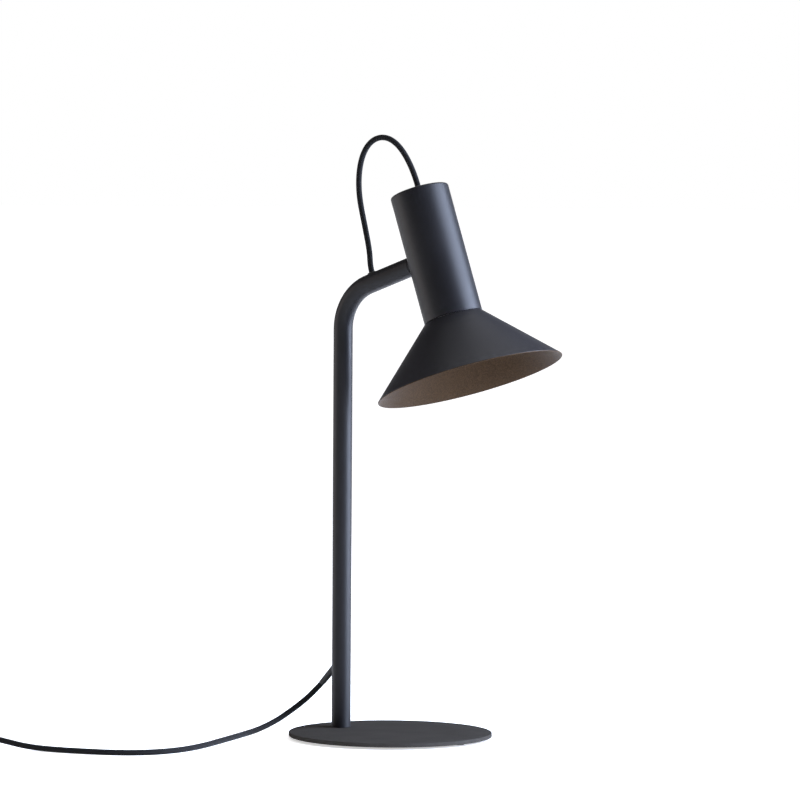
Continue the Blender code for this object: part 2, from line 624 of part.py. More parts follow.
def spot_lamp():
    body_profile = [
        (0, -11.4 * MM), (12.6 * MM, -11.4 * MM), (13.4 * MM, -12.2 * MM), (14 * MM, -20 * MM),
        (19 * MM, -32 * MM), (23.6 * MM, -44 * MM), (25 * MM, -50 * MM), (25 * MM, -57.4 * MM),
        (24 * MM, -58 * MM), (23.2 * MM, -58 * MM), (23.2 * MM, -54.4 * MM), (0, -54.4 * MM),
    ]
    body = turned("lamp_body", body_profile, LAMP_WHITE, HEAD, steps=36, closed=False)
    lens_profile = [
        (0, -54.7 * MM), (22.8 * MM, -54.7 * MM), (22.8 * MM, -56.8 * MM), (12 * MM, -57.9 * MM),
        (0, -58.2 * MM),
    ]
    turned("lamp_lens", lens_profile, LENS, HEAD, steps=36, closed=False)
    for number, across in enumerate((-5 * MM, 5 * MM), 1):
        pin_profile = [
            (0, -4.4 * MM), (2.4 * MM, -4.4 * MM), (2.4 * MM, -7 * MM), (1.6 * MM, -7.4 * MM),
            (1.6 * MM, -14 * MM), (0, -14 * MM),
        ]
        at = Matrix.Translation((across, 0, 0))
        cut(body, turned(f"lamp_pin_{number}", pin_profile, BRASS, HEAD, at, 12, closed=False), "UNION")


def shade_pieces():
    """The cone, the threaded sleeve in the head's lower end, and the ring that clamps the cone to it."""
    sleeve_outer = HEAD_RADIUS - HEAD_WALL - GAP
    ring("neck_sleeve", 25.6 * MM, sleeve_outer, -68.4 * MM, -50 * MM, ALUMINIUM, HEAD, steps=36)
    top = -HEAD_DOWN - GAP
    rim = -HEAD_DOWN - SHADE_LENGTH
    slant = SHADE_SHEET * math.sqrt(2)
    bore = sleeve_outer + GAP
    lip = 0.3 * MM
    profile = [
        (HEAD_RADIUS, top), (SHADE_RADIUS, rim + lip), (SHADE_RADIUS - lip, rim), (SHADE_RADIUS - slant, rim),
        (HEAD_RADIUS + SHADE_SHEET - slant, top - SHADE_SHEET), (bore, top - SHADE_SHEET), (bore, top),
    ]
    turned("shade", profile, SHADE_PAINT, HEAD)
    under = top - SHADE_SHEET - GAP
    ring_profile = [
        (28.2 * MM, under), (31 * MM, under - 3.1 * MM), (31 * MM, under - 4 * MM),
        (25.4 * MM, under - 5 * MM), (25.4 * MM, -68.7 * MM), (bore, -68.7 * MM), (bore, under),
    ]
    turned("shade_ring", ring_profile, ALUMINIUM, HEAD, steps=36)


# ---------------------------------------------------------------- cord


def free_cords():
    loop = [(along * MM, 0, up * MM) for along, up in LOOP_ROUTE]
    tube("loop_cord", smooth_line(loop, 12 * MM), CORD_RADIUS, TEXTILE, HEAD)
    hole = Vector((STEM_X - TUBE_RADIUS, 0, CORD_HOLE_HEIGHT))
    bush_length = 22 * MM + GAP
    start = hole + bush_length * Vector((-math.cos(CORD_FALL), 0, -math.sin(CORD_FALL)))
    lead = smooth_line(from_stem(LEAD_ROUTE), CORD_STEP)
    lead[-1][0] += GAP
    past_bush = [point for point in lead if (Vector(point) - hole).length > bush_length + 3 * MM]
    tube("supply_cord", [start, *past_bush], CORD_RADIUS, TEXTILE)
    link = smooth_line(from_stem(LINK_ROUTE), CORD_STEP)
    link[0][0] -= GAP
    tube("cord_link", link, CORD_RADIUS, TEXTILE)
    tube("cord_tail", smooth_line(from_stem(TAIL_ROUTE), 8 * MM), CORD_RADIUS, TEXTILE)


def supply_coil():
    """The outer shape of the wound part of the lead, and the strap round it."""
    at = Matrix.Translation((STEM_X + COIL_PLACE[0], COIL_PLACE[1], 0))
    corner = CORD_RADIUS
    profile = arc(COIL_OUTER - corner, COIL_TOP - corner, corner, 90, 0, 2)
    profile += arc(COIL_OUTER - corner, COIL_BOTTOM + corner, corner, 0, -90, 2)
    profile += arc(COIL_INNER + corner, COIL_BOTTOM + corner, corner, -90, -180, 2)
    profile += arc(COIL_INNER + corner, COIL_TOP - corner, corner, 180, 90, 2)
    turned("supply_coil", profile, TEXTILE, matrix=at, steps=36)
    strap = 0.7 * MM
    inner, outer = COIL_INNER - 0.8 * MM, COIL_OUTER + 0.4 * MM
    low, high = COIL_BOTTOM - GAP, COIL_TOP + GAP
    outline = [(inner - strap, low - strap), (outer + strap, low - strap), (outer + strap, high + strap)]
    outline += [(inner - strap, high + strap)]
    upright = Matrix.Rotation(math.radians(50), 4, "Z") @ Matrix.Rotation(math.pi / 2, 4, "X")
    band = flat_outline("coil_strap", outline, 9 * MM, BLACK, matrix=at @ upright)
    hole = [(inner, low), (outer, low), (outer, high), (inner, high)]
    cut(band, flat_outline("strap_cutter", hole, 12 * MM, BLACK, matrix=at @ upright))


def relief(name, length, root, tip, parent, matrix):
    """A tapered sleeve on the cord: Z runs from its root on the housing to its tip."""
    profile = [(0, length), (tip, length), (root, 0), (0, 0)]
    turned(name, profile, RUBBER, parent, matrix, SMALL_STEPS, closed=False)


def inline_switch():
    frame = empty("switch_frame", (STEM_X + SWITCH_PLACE[0], SWITCH_PLACE[1], 0))
    half, side = SWITCH_LENGTH / 2, SWITCH_WIDTH / 2
    cavity = (34 * MM, SWITCH_WIDTH - 4 * MM)
    low_size = (SWITCH_LENGTH, SWITCH_WIDTH, SWITCH_SPLIT)
    lower = box("switch_lower_shell", low_size, (0, 0, SWITCH_SPLIT / 2), BLACK, frame, 1.5 * MM)
    high = SWITCH_SPLIT + GAP
    tall = SWITCH_HEIGHT - high
    high_size = (SWITCH_LENGTH, SWITCH_WIDTH, tall)
    upper = box("switch_upper_shell", high_size, (0, 0, high + tall / 2), BLACK, frame, 1.5 * MM)
    space_size = (*cavity, SWITCH_HEIGHT - 4 * MM)
    space = box("switch_space_cutter", space_size, (0, 0, SWITCH_HEIGHT / 2), BLACK, frame)
    window = (2 * ROCKER_RADIUS + MM, ROCKER_WIDTH + MM, 8 * MM)
    opening = box("rocker_window_cutter", window, (0, 0, SWITCH_HEIGHT), BLACK, frame)
    cut(lower, space)
    cut(upper, space)
    cut(upper, opening)
    reach = side - 0.6 * MM
    drill(upper, "axle_seat", 1.35 * MM, (0, -reach, ROCKER_HEIGHT), (0, reach, ROCKER_HEIGHT), frame)
    for number, way in enumerate((1, -1), 1):
        for shell, name in ((lower, "lower"), (upper, "upper")):
            ends = ((way * 15 * MM, 0, SWITCH_CORD_HEIGHT), (way * (half + 2 * MM), 0, SWITCH_CORD_HEIGHT))
            drill(shell, f"{name}_cord_way_{number}", CORD_BORE, *ends, frame)
        turn = Matrix.Rotation(way * math.pi / 2, 4, "Y")
        at = Matrix.Translation((way * (half + GAP), 0, SWITCH_CORD_HEIGHT)) @ turn
        relief(f"switch_relief_{number}", SWITCH_RELIEF - 2 * GAP, 5.2 * MM, 3.4 * MM, frame, at)
        switch_screw(number, (way * 23.5 * MM, way * 8 * MM), lower, upper, frame)
    rocker_pieces(frame)


def switch_screw(number, place_xy, lower, upper, frame):
    x, y = place_xy
    drill(lower, f"lower_screw_way_{number}", 1.7 * MM, (x, y, -MM), (x, y, 12 * MM), frame)
    drill(lower, f"lower_screw_sink_{number}", 3.1 * MM, (x, y, -MM), (x, y, 2.6 * MM), frame)
    drill(upper, f"upper_screw_way_{number}", 1.7 * MM, (x, y, 5 * MM), (x, y, 15 * MM), frame)
    profile = [
        (0, 14 * MM), (1.4 * MM, 14 * MM), (1.4 * MM, 2.2 * MM), (2.7 * MM, 2.2 * MM), (2.7 * MM, 0.7 * MM),
        (0, 0.7 * MM),
    ]
    turned(f"switch_screw_{number}", profile, STEEL, frame, Matrix.Translation((x, y, 0)), 12, closed=False)


def rocker_pieces(frame):
    """The rocker rests pressed down at one end, and turns about its axle."""
    radius = ROCKER_RADIUS
    outline = arc(0, 0, radius, -20, 38, 4) + [(0, 4.4 * MM)] + arc(0, 0, radius, 142, 200, 4)
    axle = empty("rocker_axis", (0, 0, ROCKER_HEIGHT), (0, ROCKER_TILT, 0))
    axle.parent = frame
    upright = Matrix.Rotation(math.pi / 2, 4, "X")
    rocker = flat_outline("switch_rocker", outline, ROCKER_WIDTH, BLACK, axle, upright)
    drill(rocker, "rocker_bore", 1.35 * MM, (0, -8 * MM, 0), (0, 8 * MM, 0), axle)
    reach = SWITCH_WIDTH / 2 - MM
    as_mesh(tube("rocker_axle", [(0, -reach, ROCKER_HEIGHT), (0, reach, ROCKER_HEIGHT)], MM, STEEL, frame, 2))
    for number, way in enumerate((1, -1), 1):
        strip = [(15 * MM, 2.6 * MM), (15 * MM, 7 * MM), (14.2 * MM, 7 * MM), (14.2 * MM, 3.4 * MM)]
        strip += [(6.5 * MM, 3.4 * MM), (3 * MM, 7.4 * MM), (2.2 * MM, 6.8 * MM), (6 * MM, 2.6 * MM)]
        outline = [(way * x, y) for x, y in strip]
        at = Matrix.Translation((0, way * 5 * MM, 0)) @ upright
        flat_outline(f"contact_strip_{number}", outline, 4 * MM, BRASS, frame, at)


def mains_plug():
    """A flat two-pin plug that lies on the table, with its pins towards +X."""
    frame = empty("plug_frame", (STEM_X + PLUG_PLACE[0], PLUG_PLACE[1], PLUG_THICK / 2))
    side, neck = PLUG_WIDTH / 2, 6.5 * MM
    shoulder = -20 * MM
    half = [(0, -side + 1.5 * MM), (0, side - 1.5 * MM), (-1.5 * MM, side), (shoulder, side - 1 * MM)]
    half += [(shoulder - 5 * MM, side - 3.5 * MM), (-PLUG_LENGTH + 3 * MM, neck + MM), (-PLUG_LENGTH, neck)]
    outline = half + [(x, -y) for x, y in reversed(half[1:])][:-1] + [(-1.5 * MM, -side)]
    body = flat_outline("plug_body", outline_once(outline), PLUG_THICK, BLACK, frame)
    bevel = body.modifiers.new("round", "BEVEL")
    bevel.width = 1.6 * MM
    bevel.segments = 2
    at = Matrix.Translation((-PLUG_LENGTH - GAP, 0, 0)) @ Matrix.Rotation(-math.pi / 2, 4, "Y")
    relief("plug_relief", PLUG_RELIEF - 2 * GAP, 5.6 * MM, 3.4 * MM, frame, at)
    for number, across in enumerate((-PIN_SPACING / 2, PIN_SPACING / 2), 1):
        nose = PIN_LENGTH - MM
        profile = [(0, PIN_LENGTH), (PIN_RADIUS - MM, PIN_LENGTH), (PIN_RADIUS, nose)]
        profile += [(PIN_RADIUS, 0), (0, 0)]
        turn = Matrix.Translation((GAP, across, 0)) @ Matrix.Rotation(math.pi / 2, 4, "Y")
        turned(f"plug_pin_{number}", profile, STEEL, frame, turn, 12, closed=False)


def outline_once(points):
    """The outline without points that repeat."""
    kept = []
    for point in points:
        if all(math.dist(point, other) > WELD for other in kept):
            kept.append(point)
    return kept


def bake_meshes():
    """Evaluate every cut or turned piece and shade its round faces smooth."""
    bpy.context.view_layer.update()
    graph = bpy.context.evaluated_depsgraph_get()
    pieces = [made for made in PARTS.objects if made.type == "MESH"]
    baked = [bpy.data.meshes.new_from_object(made.evaluated_get(graph)) for made in pieces]
    for made, mesh in zip(pieces, baked):
        made.modifiers.clear()
        made.data = mesh
        mesh.shade_smooth()
        mesh.set_sharp_from_angle(angle=SMOOTH_ANGLE)


base_plate()
feet()
stem_tube()
stem_fittings()
stem_cord_pieces()
pivot_pieces()
head_housing()
cord_gland()
holder_bracket()
lampholder()
terminal_block()
head_wires()
spot_lamp()
shade_pieces()
free_cords()
supply_coil()
inline_switch()
mains_plug()
bake_meshes()
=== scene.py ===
import json
import math

import bmesh
import bpy
import numpy as np
from mathutils import Matrix, Vector


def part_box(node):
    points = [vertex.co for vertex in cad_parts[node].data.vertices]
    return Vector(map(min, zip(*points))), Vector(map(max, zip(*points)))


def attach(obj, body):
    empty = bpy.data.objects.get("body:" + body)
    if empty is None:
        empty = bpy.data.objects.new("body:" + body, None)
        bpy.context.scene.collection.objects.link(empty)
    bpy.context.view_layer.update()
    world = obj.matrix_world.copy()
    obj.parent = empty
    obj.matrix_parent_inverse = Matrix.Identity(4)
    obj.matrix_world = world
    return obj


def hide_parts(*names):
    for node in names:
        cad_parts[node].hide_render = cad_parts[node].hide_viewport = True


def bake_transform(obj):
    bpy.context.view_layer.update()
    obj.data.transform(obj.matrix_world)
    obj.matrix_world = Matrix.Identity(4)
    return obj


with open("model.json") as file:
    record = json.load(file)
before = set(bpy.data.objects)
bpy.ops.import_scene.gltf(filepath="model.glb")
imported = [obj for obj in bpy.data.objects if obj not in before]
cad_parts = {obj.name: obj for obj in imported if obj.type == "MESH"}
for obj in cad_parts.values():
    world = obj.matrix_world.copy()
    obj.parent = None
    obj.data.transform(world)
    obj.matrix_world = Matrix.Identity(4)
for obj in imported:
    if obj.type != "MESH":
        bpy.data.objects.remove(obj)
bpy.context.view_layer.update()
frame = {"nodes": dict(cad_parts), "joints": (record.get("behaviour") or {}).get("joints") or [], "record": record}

MM = 0.001

# ---------------------------------------------------------------- the frame's places

RECORD = frame["record"]
BODIES = RECORD["behaviour"]["bodies"]
BODY_OF = {node: body for body, nodes in BODIES.items() for node in nodes}
SLOT_OF = {part["node"]: part["material_slot"] for part in RECORD["subparts"]}
SWIVEL = next(joint for joint in frame["joints"] if joint["name"] == "head_swivel")
ROCKING = next(joint for joint in frame["joints"] if joint["name"] == "switch_rocker_tilt")


def middle(node):
    low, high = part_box(node)
    return (Vector(low) + Vector(high)) / 2


def size(node):
    low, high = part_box(node)
    return Vector(high) - Vector(low)


STEM_X = middle("stem_foot_insert").x
BASE = middle("base_plate")
BASE_RADIUS = size("base_plate").x / 2
BASE_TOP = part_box("base_plate")[1][2]
BASE_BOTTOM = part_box("base_plate")[0][2]

# The head's frame: X runs along the arm, away from the stem, and Z up the head's own axis.
PIVOT = Vector(SWIVEL["pos_m"])
ALONG = Vector(SWIVEL["axis"]).normalized()
SIDE = Vector((0, 1, 0))
UP = ALONG.cross(SIDE)
HEAD = Matrix.Translation(PIVOT) @ Matrix((ALONG, SIDE, UP)).transposed().to_4x4()
ARM_RISE = math.asin(ALONG.z)

# ---------------------------------------------------------------- sizes

TUBE_RADIUS = 9.5 * MM
TUBE_WALL = 1.5 * MM
COLUMN_TOP = 401 * MM
BEND_RADIUS = 47.5 * MM
HEAD_RADIUS = 29 * MM
HEAD_WALL = 1.5 * MM
HEAD_UP = 66.5 * MM
HEAD_DOWN = 63 * MM
HEAD_EDGE = 1.8 * MM
SHADE_RADIUS = 92.5 * MM
SHADE_LENGTH = 63.5 * MM
SHADE_SHEET = 1.0 * MM
JOINT_PLANE = 31 * MM
GAP = 0.3 * MM

CORD_RADIUS = 2.8 * MM
CORD_BORE = 2.86 * MM
CORD_FALL = math.radians(47)
CORD_HOLE_HEIGHT = 64.3 * MM
LOOP_HOLE = -81.4 * MM
SLEEVE_LENGTH = 22 * MM
RING_STEP = 1.6 * MM  # distance between the rings of a cord's mesh
COIL_PLACE = (-289.4 * MM, -363 * MM)
COIL_OUTER_LANE = 40.2 * MM
COIL_INNER_LANE = 26.2 * MM
COIL_LOW = 3.8 * MM
COIL_HIGH = 9.4 * MM
COIL_TURNS = 5.25
COIL_POINTS = 16  # for each turn
SWITCH_PLACE = (-241 * MM, -307 * MM)
SWITCH_LENGTH = 62 * MM
SWITCH_WIDTH = 25 * MM
SWITCH_SPLIT = 9 * MM
SWITCH_HEIGHT = 19 * MM
SWITCH_CORD_HEIGHT = 8.5 * MM
ROCKER_RADIUS = 9 * MM
ROCKER_WIDTH = 11.4 * MM
ROCKER_TILT = math.radians(7)
PLUG_PLACE = (-188 * MM, -403 * MM)
PLUG_LENGTH = 36 * MM
PLUG_WIDTH = 35 * MM
PLUG_THICK = 13.7 * MM
PIN_LENGTH = 19 * MM
PIN_SPACING = 18.6 * MM

# The lead from the hole in the stem to the coil, in millimetres from the stem's axis. It runs
# straight through the switch.
LEAD_ROUTE = [
    (-9.5, 0, 64.3), (-17, 0, 56.4), (-24.5, 0, 48.7), (-32, -0.5, 41.4), (-41, -1.8, 33.2),
    (-49, -4.5, 26.1), (-56.5, -10, 19), (-61.8, -20, 12.2), (-63.2, -34, 7.6), (-61, -54, 4.4),
    (-55, -80, 3), (-46.5, -107, 2.8), (-37.5, -136, 2.8), (-28, -166, 2.8), (-20.5, -196, 2.8),
    (-17.6, -223, 2.8), (-20.5, -245, 2.8), (-28.5, -262.5, 2.8), (-41.5, -276.5, 2.8),
    (-59, -286.8, 2.8), (-79, -294.2, 2.8), (-101, -300, 2.8), (-124, -304.2, 3),
    (-147, -306.4, 4.2), (-169, -307, 6.6), (-190, -307, 8.5), (-216, -307, 8.5), (-266, -307, 8.5),
    (-292, -307, 8.5), (-302, -308, 8.2), (-312.5, -311.8, 7.2), (-321.4, -319, 5.8), (-327.2, -329, 4.5),
    (-329.4, -340.8, 3.9),
]
# From the coil into the plug
TAIL_ROUTE = [
    (-278, -403.2, 9), (-267.6, -403.2, 8.4), (-259, -403.1, 7.4), (-250.3, -403, 6.85), (-228, -403, 6.85),
]
# The loop, in millimetres in the head's frame: along the arm, and up the head's axis
LOOP_ROUTE = [
    (0, 68), (0, 76), (-0.9, 87), (-3, 98.5), (-6.4, 109.5), (-12, 120), (-21, 128.6), (-33, 132.2),
    (-45, 129.5), (-55.5, 121.3), (-63.2, 110), (-69, 96), (-72.6, 80), (-74.4, 62), (-76, 44),
    (-78.4, 27), (-80.9, 16), (-81.4, 9.4),
]

SMOOTH_ANGLE = math.radians(32)
TINY = 1e-6

# ---------------------------------------------------------------- camera


def camera_basis(azimuth, pitch, roll):
    """Right, up and backward of a camera that looks along the azimuth, in degrees."""
    a, p, r = (math.radians(angle) for angle in (azimuth, pitch, roll))
    forward = Vector((-math.sin(a) * math.cos(p), math.cos(a) * math.cos(p), math.sin(p)))
    level = forward.cross(Vector((0, 0, 1))).normalized()
    upright = level.cross(forward)
    right = level * math.cos(r) + upright * math.sin(r)
    return right, right.cross(forward), -forward


def add_camera():
    data = bpy.data.cameras.new("camera")
    data.lens = 227.9
    data.sensor_width = 36
    data.clip_end = 100
    camera = bpy.data.objects.new("camera", data)
    bpy.context.scene.collection.objects.link(camera)
    azimuth, distance, height = math.radians(37.9), 4.9605, 0.58584
    turn = Matrix(camera_basis(azimuth=37.813, pitch=-2.916, roll=0.35)).transposed().to_4x4()
    place = Vector((BASE.x + distance * math.sin(azimuth), -distance * math.cos(azimuth), height))
    camera.matrix_world = Matrix.Translation(place) @ turn
    bpy.context.scene.camera = camera


add_camera()

# ---------------------------------------------------------------- mesh helpers


def new_object(name, bm, *materials):
    mesh = bpy.data.meshes.new(name)
    bmesh.ops.recalc_face_normals(bm, faces=bm.faces)
    bm.to_mesh(mesh)
    bm.free()
    made = bpy.data.objects.new(name, mesh)
    bpy.context.scene.collection.objects.link(made)
    for material in materials:
        mesh.materials.append(material)
    smooth(mesh)
    return made


def smooth(mesh):
    mesh.shade_smooth()
    mesh.set_sharp_from_angle(angle=SMOOTH_ANGLE)


def bake(made):
    """Apply the modifiers, and keep the object's name and place."""
    bpy.context.view_layer.update()
    evaluated = made.evaluated_get(bpy.context.evaluated_depsgraph_get())
    mesh = bpy.data.meshes.new_from_object(evaluated)
    made.modifiers.clear()
    made.data = mesh
    smooth(mesh)
    return made


def cut(made, cutter, operation="DIFFERENCE"):
    """Cut a piece with another, which is then removed."""
    boolean = made.modifiers.new("cut", "BOOLEAN")
    boolean.operation = operation
    boolean.solver = "EXACT"
    boolean.object = cutter
    bake(made)
    bpy.data.objects.remove(cutter, do_unlink=True)
    return made


def drill(made, radius, start, end):
    """Cut a round hole between two points."""
    start, end = Vector(start), Vector(end)
    turn = (end - start).to_track_quat("Z", "Y").to_matrix().to_4x4()
    at = Matrix.Translation(start) @ turn
    length = (end - start).length
    profile = [(0, length), (radius, length), (radius, 0), (0, 0)]
    return cut(made, revolve("hole_cutter", profile, at, 48, False))


def arc(center_x, center_y, radius, start_deg, end_deg, steps):
    angles = np.radians(np.linspace(start_deg, end_deg, steps + 1))
    return [(center_x + radius * math.cos(a), center_y + radius * math.sin(a)) for a in angles]


def turn_at(before, here, after):
    """How sharply an outline turns at a point, from 0 to 1 for 30 degrees or more."""
    into, out = Vector(here) - Vector(before), Vector(after) - Vector(here)
    if into.length < TINY or out.length < TINY:
        return 0.0
    return min(1.0, into.angle(out) / math.radians(30))


def corners_between(first, second, i):
    """The corners of face i between two rings, of which either may be a single point."""
    j = i + 1
    corners = [first[i % len(first)], second[i % len(second)]]
    corners += [second[j % len(second)], first[j % len(first)]]
    return list(dict.fromkeys(corners))


def revolve(name, profile, matrix, steps, closed, materials=(), inner_from=None):
    """A profile of (radius, height) points turned about Z, with its corners marked for wear.

    Wear fades out from a corner to the next point, so long straight stretches have points in between.
    Faces from profile point inner_from on take the second material.
    """
    bm = bmesh.new()
    wear = bm.verts.layers.float.new("wear")
    rows = []
    for index, (radius, height) in enumerate(profile):
        count = 1 if radius < TINY else steps
        angles = [math.tau * i / count for i in range(count)]
        row = [bm.verts.new((radius * math.cos(a), radius * math.sin(a), height)) for a in angles]
        before, after = profile[index - 1], profile[(index + 1) % len(profile)]
        for vert in row:
            vert[wear] = turn_at(before, (radius, height), after) if count > 1 else 0
        rows.append(row)
    pairs = list(zip(rows, rows[1:]))
    if closed:
        pairs.append((rows[-1], rows[0]))
    for index, (above, below) in enumerate(pairs):
        for i in range(steps):
            face = bm.faces.new(corners_between(above, below, i))
            face.material_index = int(inner_from is not None and index >= inner_from)
    made = new_object(name, bm, *materials)
    made.matrix_world = matrix
    return made


def smooth_line(route, step):
    """Points at an even step along the natural cubic spline through a route."""
    knots = np.array(route, float)
    chords = np.linalg.norm(np.diff(knots, axis=0), axis=1)
    at = np.concatenate([[0], np.cumsum(chords)])
    count = len(knots)
    system = np.eye(count)
    right = np.zeros_like(knots)
    for i in range(1, count - 1):
        system[i, i - 1 : i + 2] = chords[i - 1], 2 * (chords[i - 1] + chords[i]), chords[i]
        right[i] = 6 * ((knots[i + 1] - knots[i]) / chords[i] - (knots[i] - knots[i - 1]) / chords[i - 1])
    bend = np.linalg.solve(system, right)
    where = np.linspace(0, at[-1], 30 * count)
    i = np.clip(np.searchsorted(at, where) - 1, 0, count - 2)
    before, after, whole = (where - at[i])[:, None], (at[i + 1] - where)[:, None], chords[i][:, None]
    fine = (bend[i] * after**3 + bend[i + 1] * before**3) / (6 * whole)
    fine += (knots[i] / whole - bend[i] * whole / 6) * after
    fine += (knots[i + 1] / whole - bend[i + 1] * whole / 6) * before
    lengths = np.concatenate([[0], np.cumsum(np.linalg.norm(np.diff(fine, axis=0), axis=1))])
    evenly = np.linspace(0, lengths[-1], max(2, round(lengths[-1] / step) + 1))
    return np.column_stack([np.interp(evenly, lengths, fine[:, axis]) for axis in range(3)])


def sweep(name, points, radii, sides, materials, caps=True):
    """A round tube along points. Its UV map holds turns round the tube, and metres along it."""
    points = np.array(points, float)
    tangents = np.gradient(points, axis=0)
    tangents /= np.linalg.norm(tangents, axis=1)[:, None]
    lengths = np.concatenate([[0], np.cumsum(np.linalg.norm(np.diff(points, axis=0), axis=1))])
    normal = np.cross(tangents[0], (0, 1, 0) if abs(tangents[0][1]) < 0.9 else (1, 0, 0))
    angles = np.linspace(0, math.tau, sides, endpoint=False)
    bm = bmesh.new()
    uv = bm.loops.layers.uv.new("braid")
    rows = []
    for point, tangent, radius in zip(points, tangents, np.broadcast_to(radii, len(points))):
        normal = normal - tangent * (normal @ tangent)
        normal /= np.linalg.norm(normal)
        across = np.cross(tangent, normal)
        ring = point + radius * (np.cos(angles)[:, None] * normal + np.sin(angles)[:, None] * across)
        rows.append([bm.verts.new(place) for place in ring])
    for k, (first, second) in enumerate(zip(rows, rows[1:])):
        for i in range(sides):
            j = (i + 1) % sides
            face = bm.faces.new((first[i], first[j], second[j], second[i]))
            around = i / sides, (i + 1) / sides
            corners = (around[0], k), (around[1], k), (around[1], k + 1), (around[0], k + 1)
            for loop, (turns, row) in zip(face.loops, corners):
                loop[uv].uv = turns, lengths[row]
    if caps:
        bm.faces.new(reversed(rows[0]))
        bm.faces.new(rows[-1])
    return new_object(name, bm, *materials)


def stack(name, outlines, matrix, materials=()):
    """A closed body lofted through level outlines with equal numbers of points, from the lowest up."""
    bm = bmesh.new()
    rows = [[bm.verts.new(point) for point in outline] for outline in outlines]
    count = len(rows[0])
    for low, high in zip(rows, rows[1:]):
        for i in range(count):
            j = (i + 1) % count
            bm.faces.new((low[i], low[j], high[j], high[i]))
    bm.faces.new(reversed(rows[0]))
    bm.faces.new(rows[-1])
    made = new_object(name, bm, *materials)
    made.matrix_world = matrix
    return made


def rounded_rectangle(half_x, half_y, corner, height, corner_steps=6):
    """A level rectangle with round corners, as 3-D points."""
    points = []
    for number, (sign_x, sign_y) in enumerate(((1, 1), (-1, 1), (-1, -1), (1, -1))):
        center = sign_x * (half_x - corner), sign_y * (half_y - corner)
        points += arc(*center, corner, 90 * number, 90 * number + 90, corner_steps)
    return [(x, y, height) for x, y in points]


def soft_block(name, half_x, half_y, low, high, corner, low_edge, high_edge, matrix, materials=()):
    """A block with round corners in plan, and a rounded lower and upper edge."""
    levels = []
    for angle in np.radians(np.linspace(0, 90, 5)):
        levels.append((low + low_edge * (1 - math.sin(angle)), low_edge * (1 - math.cos(angle))))
    levels.reverse()
    for angle in np.radians(np.linspace(0, 90, 7)):
        levels.append((high - high_edge * (1 - math.sin(angle)), high_edge * (1 - math.cos(angle))))
    outlines = []
    for height, inset in levels:
        outlines.append(rounded_rectangle(half_x - inset, half_y - inset, corner - inset, height))
    return stack(name, outlines, matrix, materials)


def stand_for(piece, *nodes):
    """The piece is shown in place of these CAD nodes, on their body."""
    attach(piece, BODY_OF[nodes[0]])
    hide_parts(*nodes)
    return piece


# ---------------------------------------------------------------- materials


class Finish:
    """A node material, with short calls for the nodes that a finish needs."""

    def __init__(self, name, color, roughness, metallic=0.0, **constants):
        self.material = bpy.data.materials.new(name)
        self.material.use_nodes = True
        self.material.diffuse_color = (*color, 1)
        self.tree = self.material.node_tree
        self.shader = self.tree.nodes["Principled BSDF"]
        self.color = color
        self.shader.inputs["Base Color"].default_value = (*color, 1)
        self.shader.inputs["Roughness"].default_value = roughness
        self.shader.inputs["Metallic"].default_value = metallic
        for socket, value in constants.items():
            self.shader.inputs[socket.replace("_", " ").title().replace("Ior", "IOR")].default_value = value
        self.place = self.node("ShaderNodeTexCoord").outputs["Object"]

    def node(self, kind, inputs=(), **settings):
        made = self.tree.nodes.new(kind)
        for setting, value in settings.items():
            setattr(made, setting, value)
        for socket, value in dict(inputs).items():
            if isinstance(value, bpy.types.NodeSocket):
                self.tree.links.new(value, made.inputs[socket])
            else:
                made.inputs[socket].default_value = value
        return made

    def math(self, operation, *values):
        return self.node("ShaderNodeMath", enumerate(values), operation=operation).outputs[0]

    def noise(self, scale, detail=2.0, stretch=None):
        place = self.place
        if stretch:
            place = self.node("ShaderNodeMapping", {"Vector": place, "Scale": stretch}).outputs[0]
        inputs = {"Vector": place, "Scale": scale, "Detail": detail}
        return self.node("ShaderNodeTexNoise", inputs).outputs["Fac"]

    def spread(self, value, low, high, to_low, to_high):
        inputs = {"Value": value, "From Min": low, "From Max": high, "To Min": to_low, "To Max": to_high}
        return self.node("ShaderNodeMapRange", inputs).outputs["Result"]

    def blend(self, fac, first, second, mode="MIX"):
        """Mix two colours, each a socket or three numbers."""
        mixed = self.node("ShaderNodeMix", {"Factor": fac}, data_type="RGBA", blend_type=mode)
        for socket, value in ((mixed.inputs[6], first), (mixed.inputs[7], second)):
            if isinstance(value, bpy.types.NodeSocket):
                self.tree.links.new(value, socket)
            else:
                socket.default_value = (*value, 1)
        return mixed.outputs[2]

    def wear(self):
        """How far a point is along a rubbed edge, broken up by noise."""
        marked = self.node("ShaderNodeAttribute", attribute_name="wear").outputs["Fac"]
        broken = self.spread(self.noise(160, 4), 0.45, 0.7, 0, 1)
        return self.math("MULTIPLY", marked, broken)

    def set(self, socket, value):
        self.tree.links.new(value, self.shader.inputs[socket])

    def bump(self, height, distance, strength=1.0):
        inputs = {"Height": height, "Distance": distance, "Strength": strength}
        self.set("Normal", self.node("ShaderNodeBump", inputs).outputs["Normal"])


def toned(color, factor):
    """The colour made darker by a factor below 1, or brighter by one above it."""
    return tuple(channel * factor for channel in color)


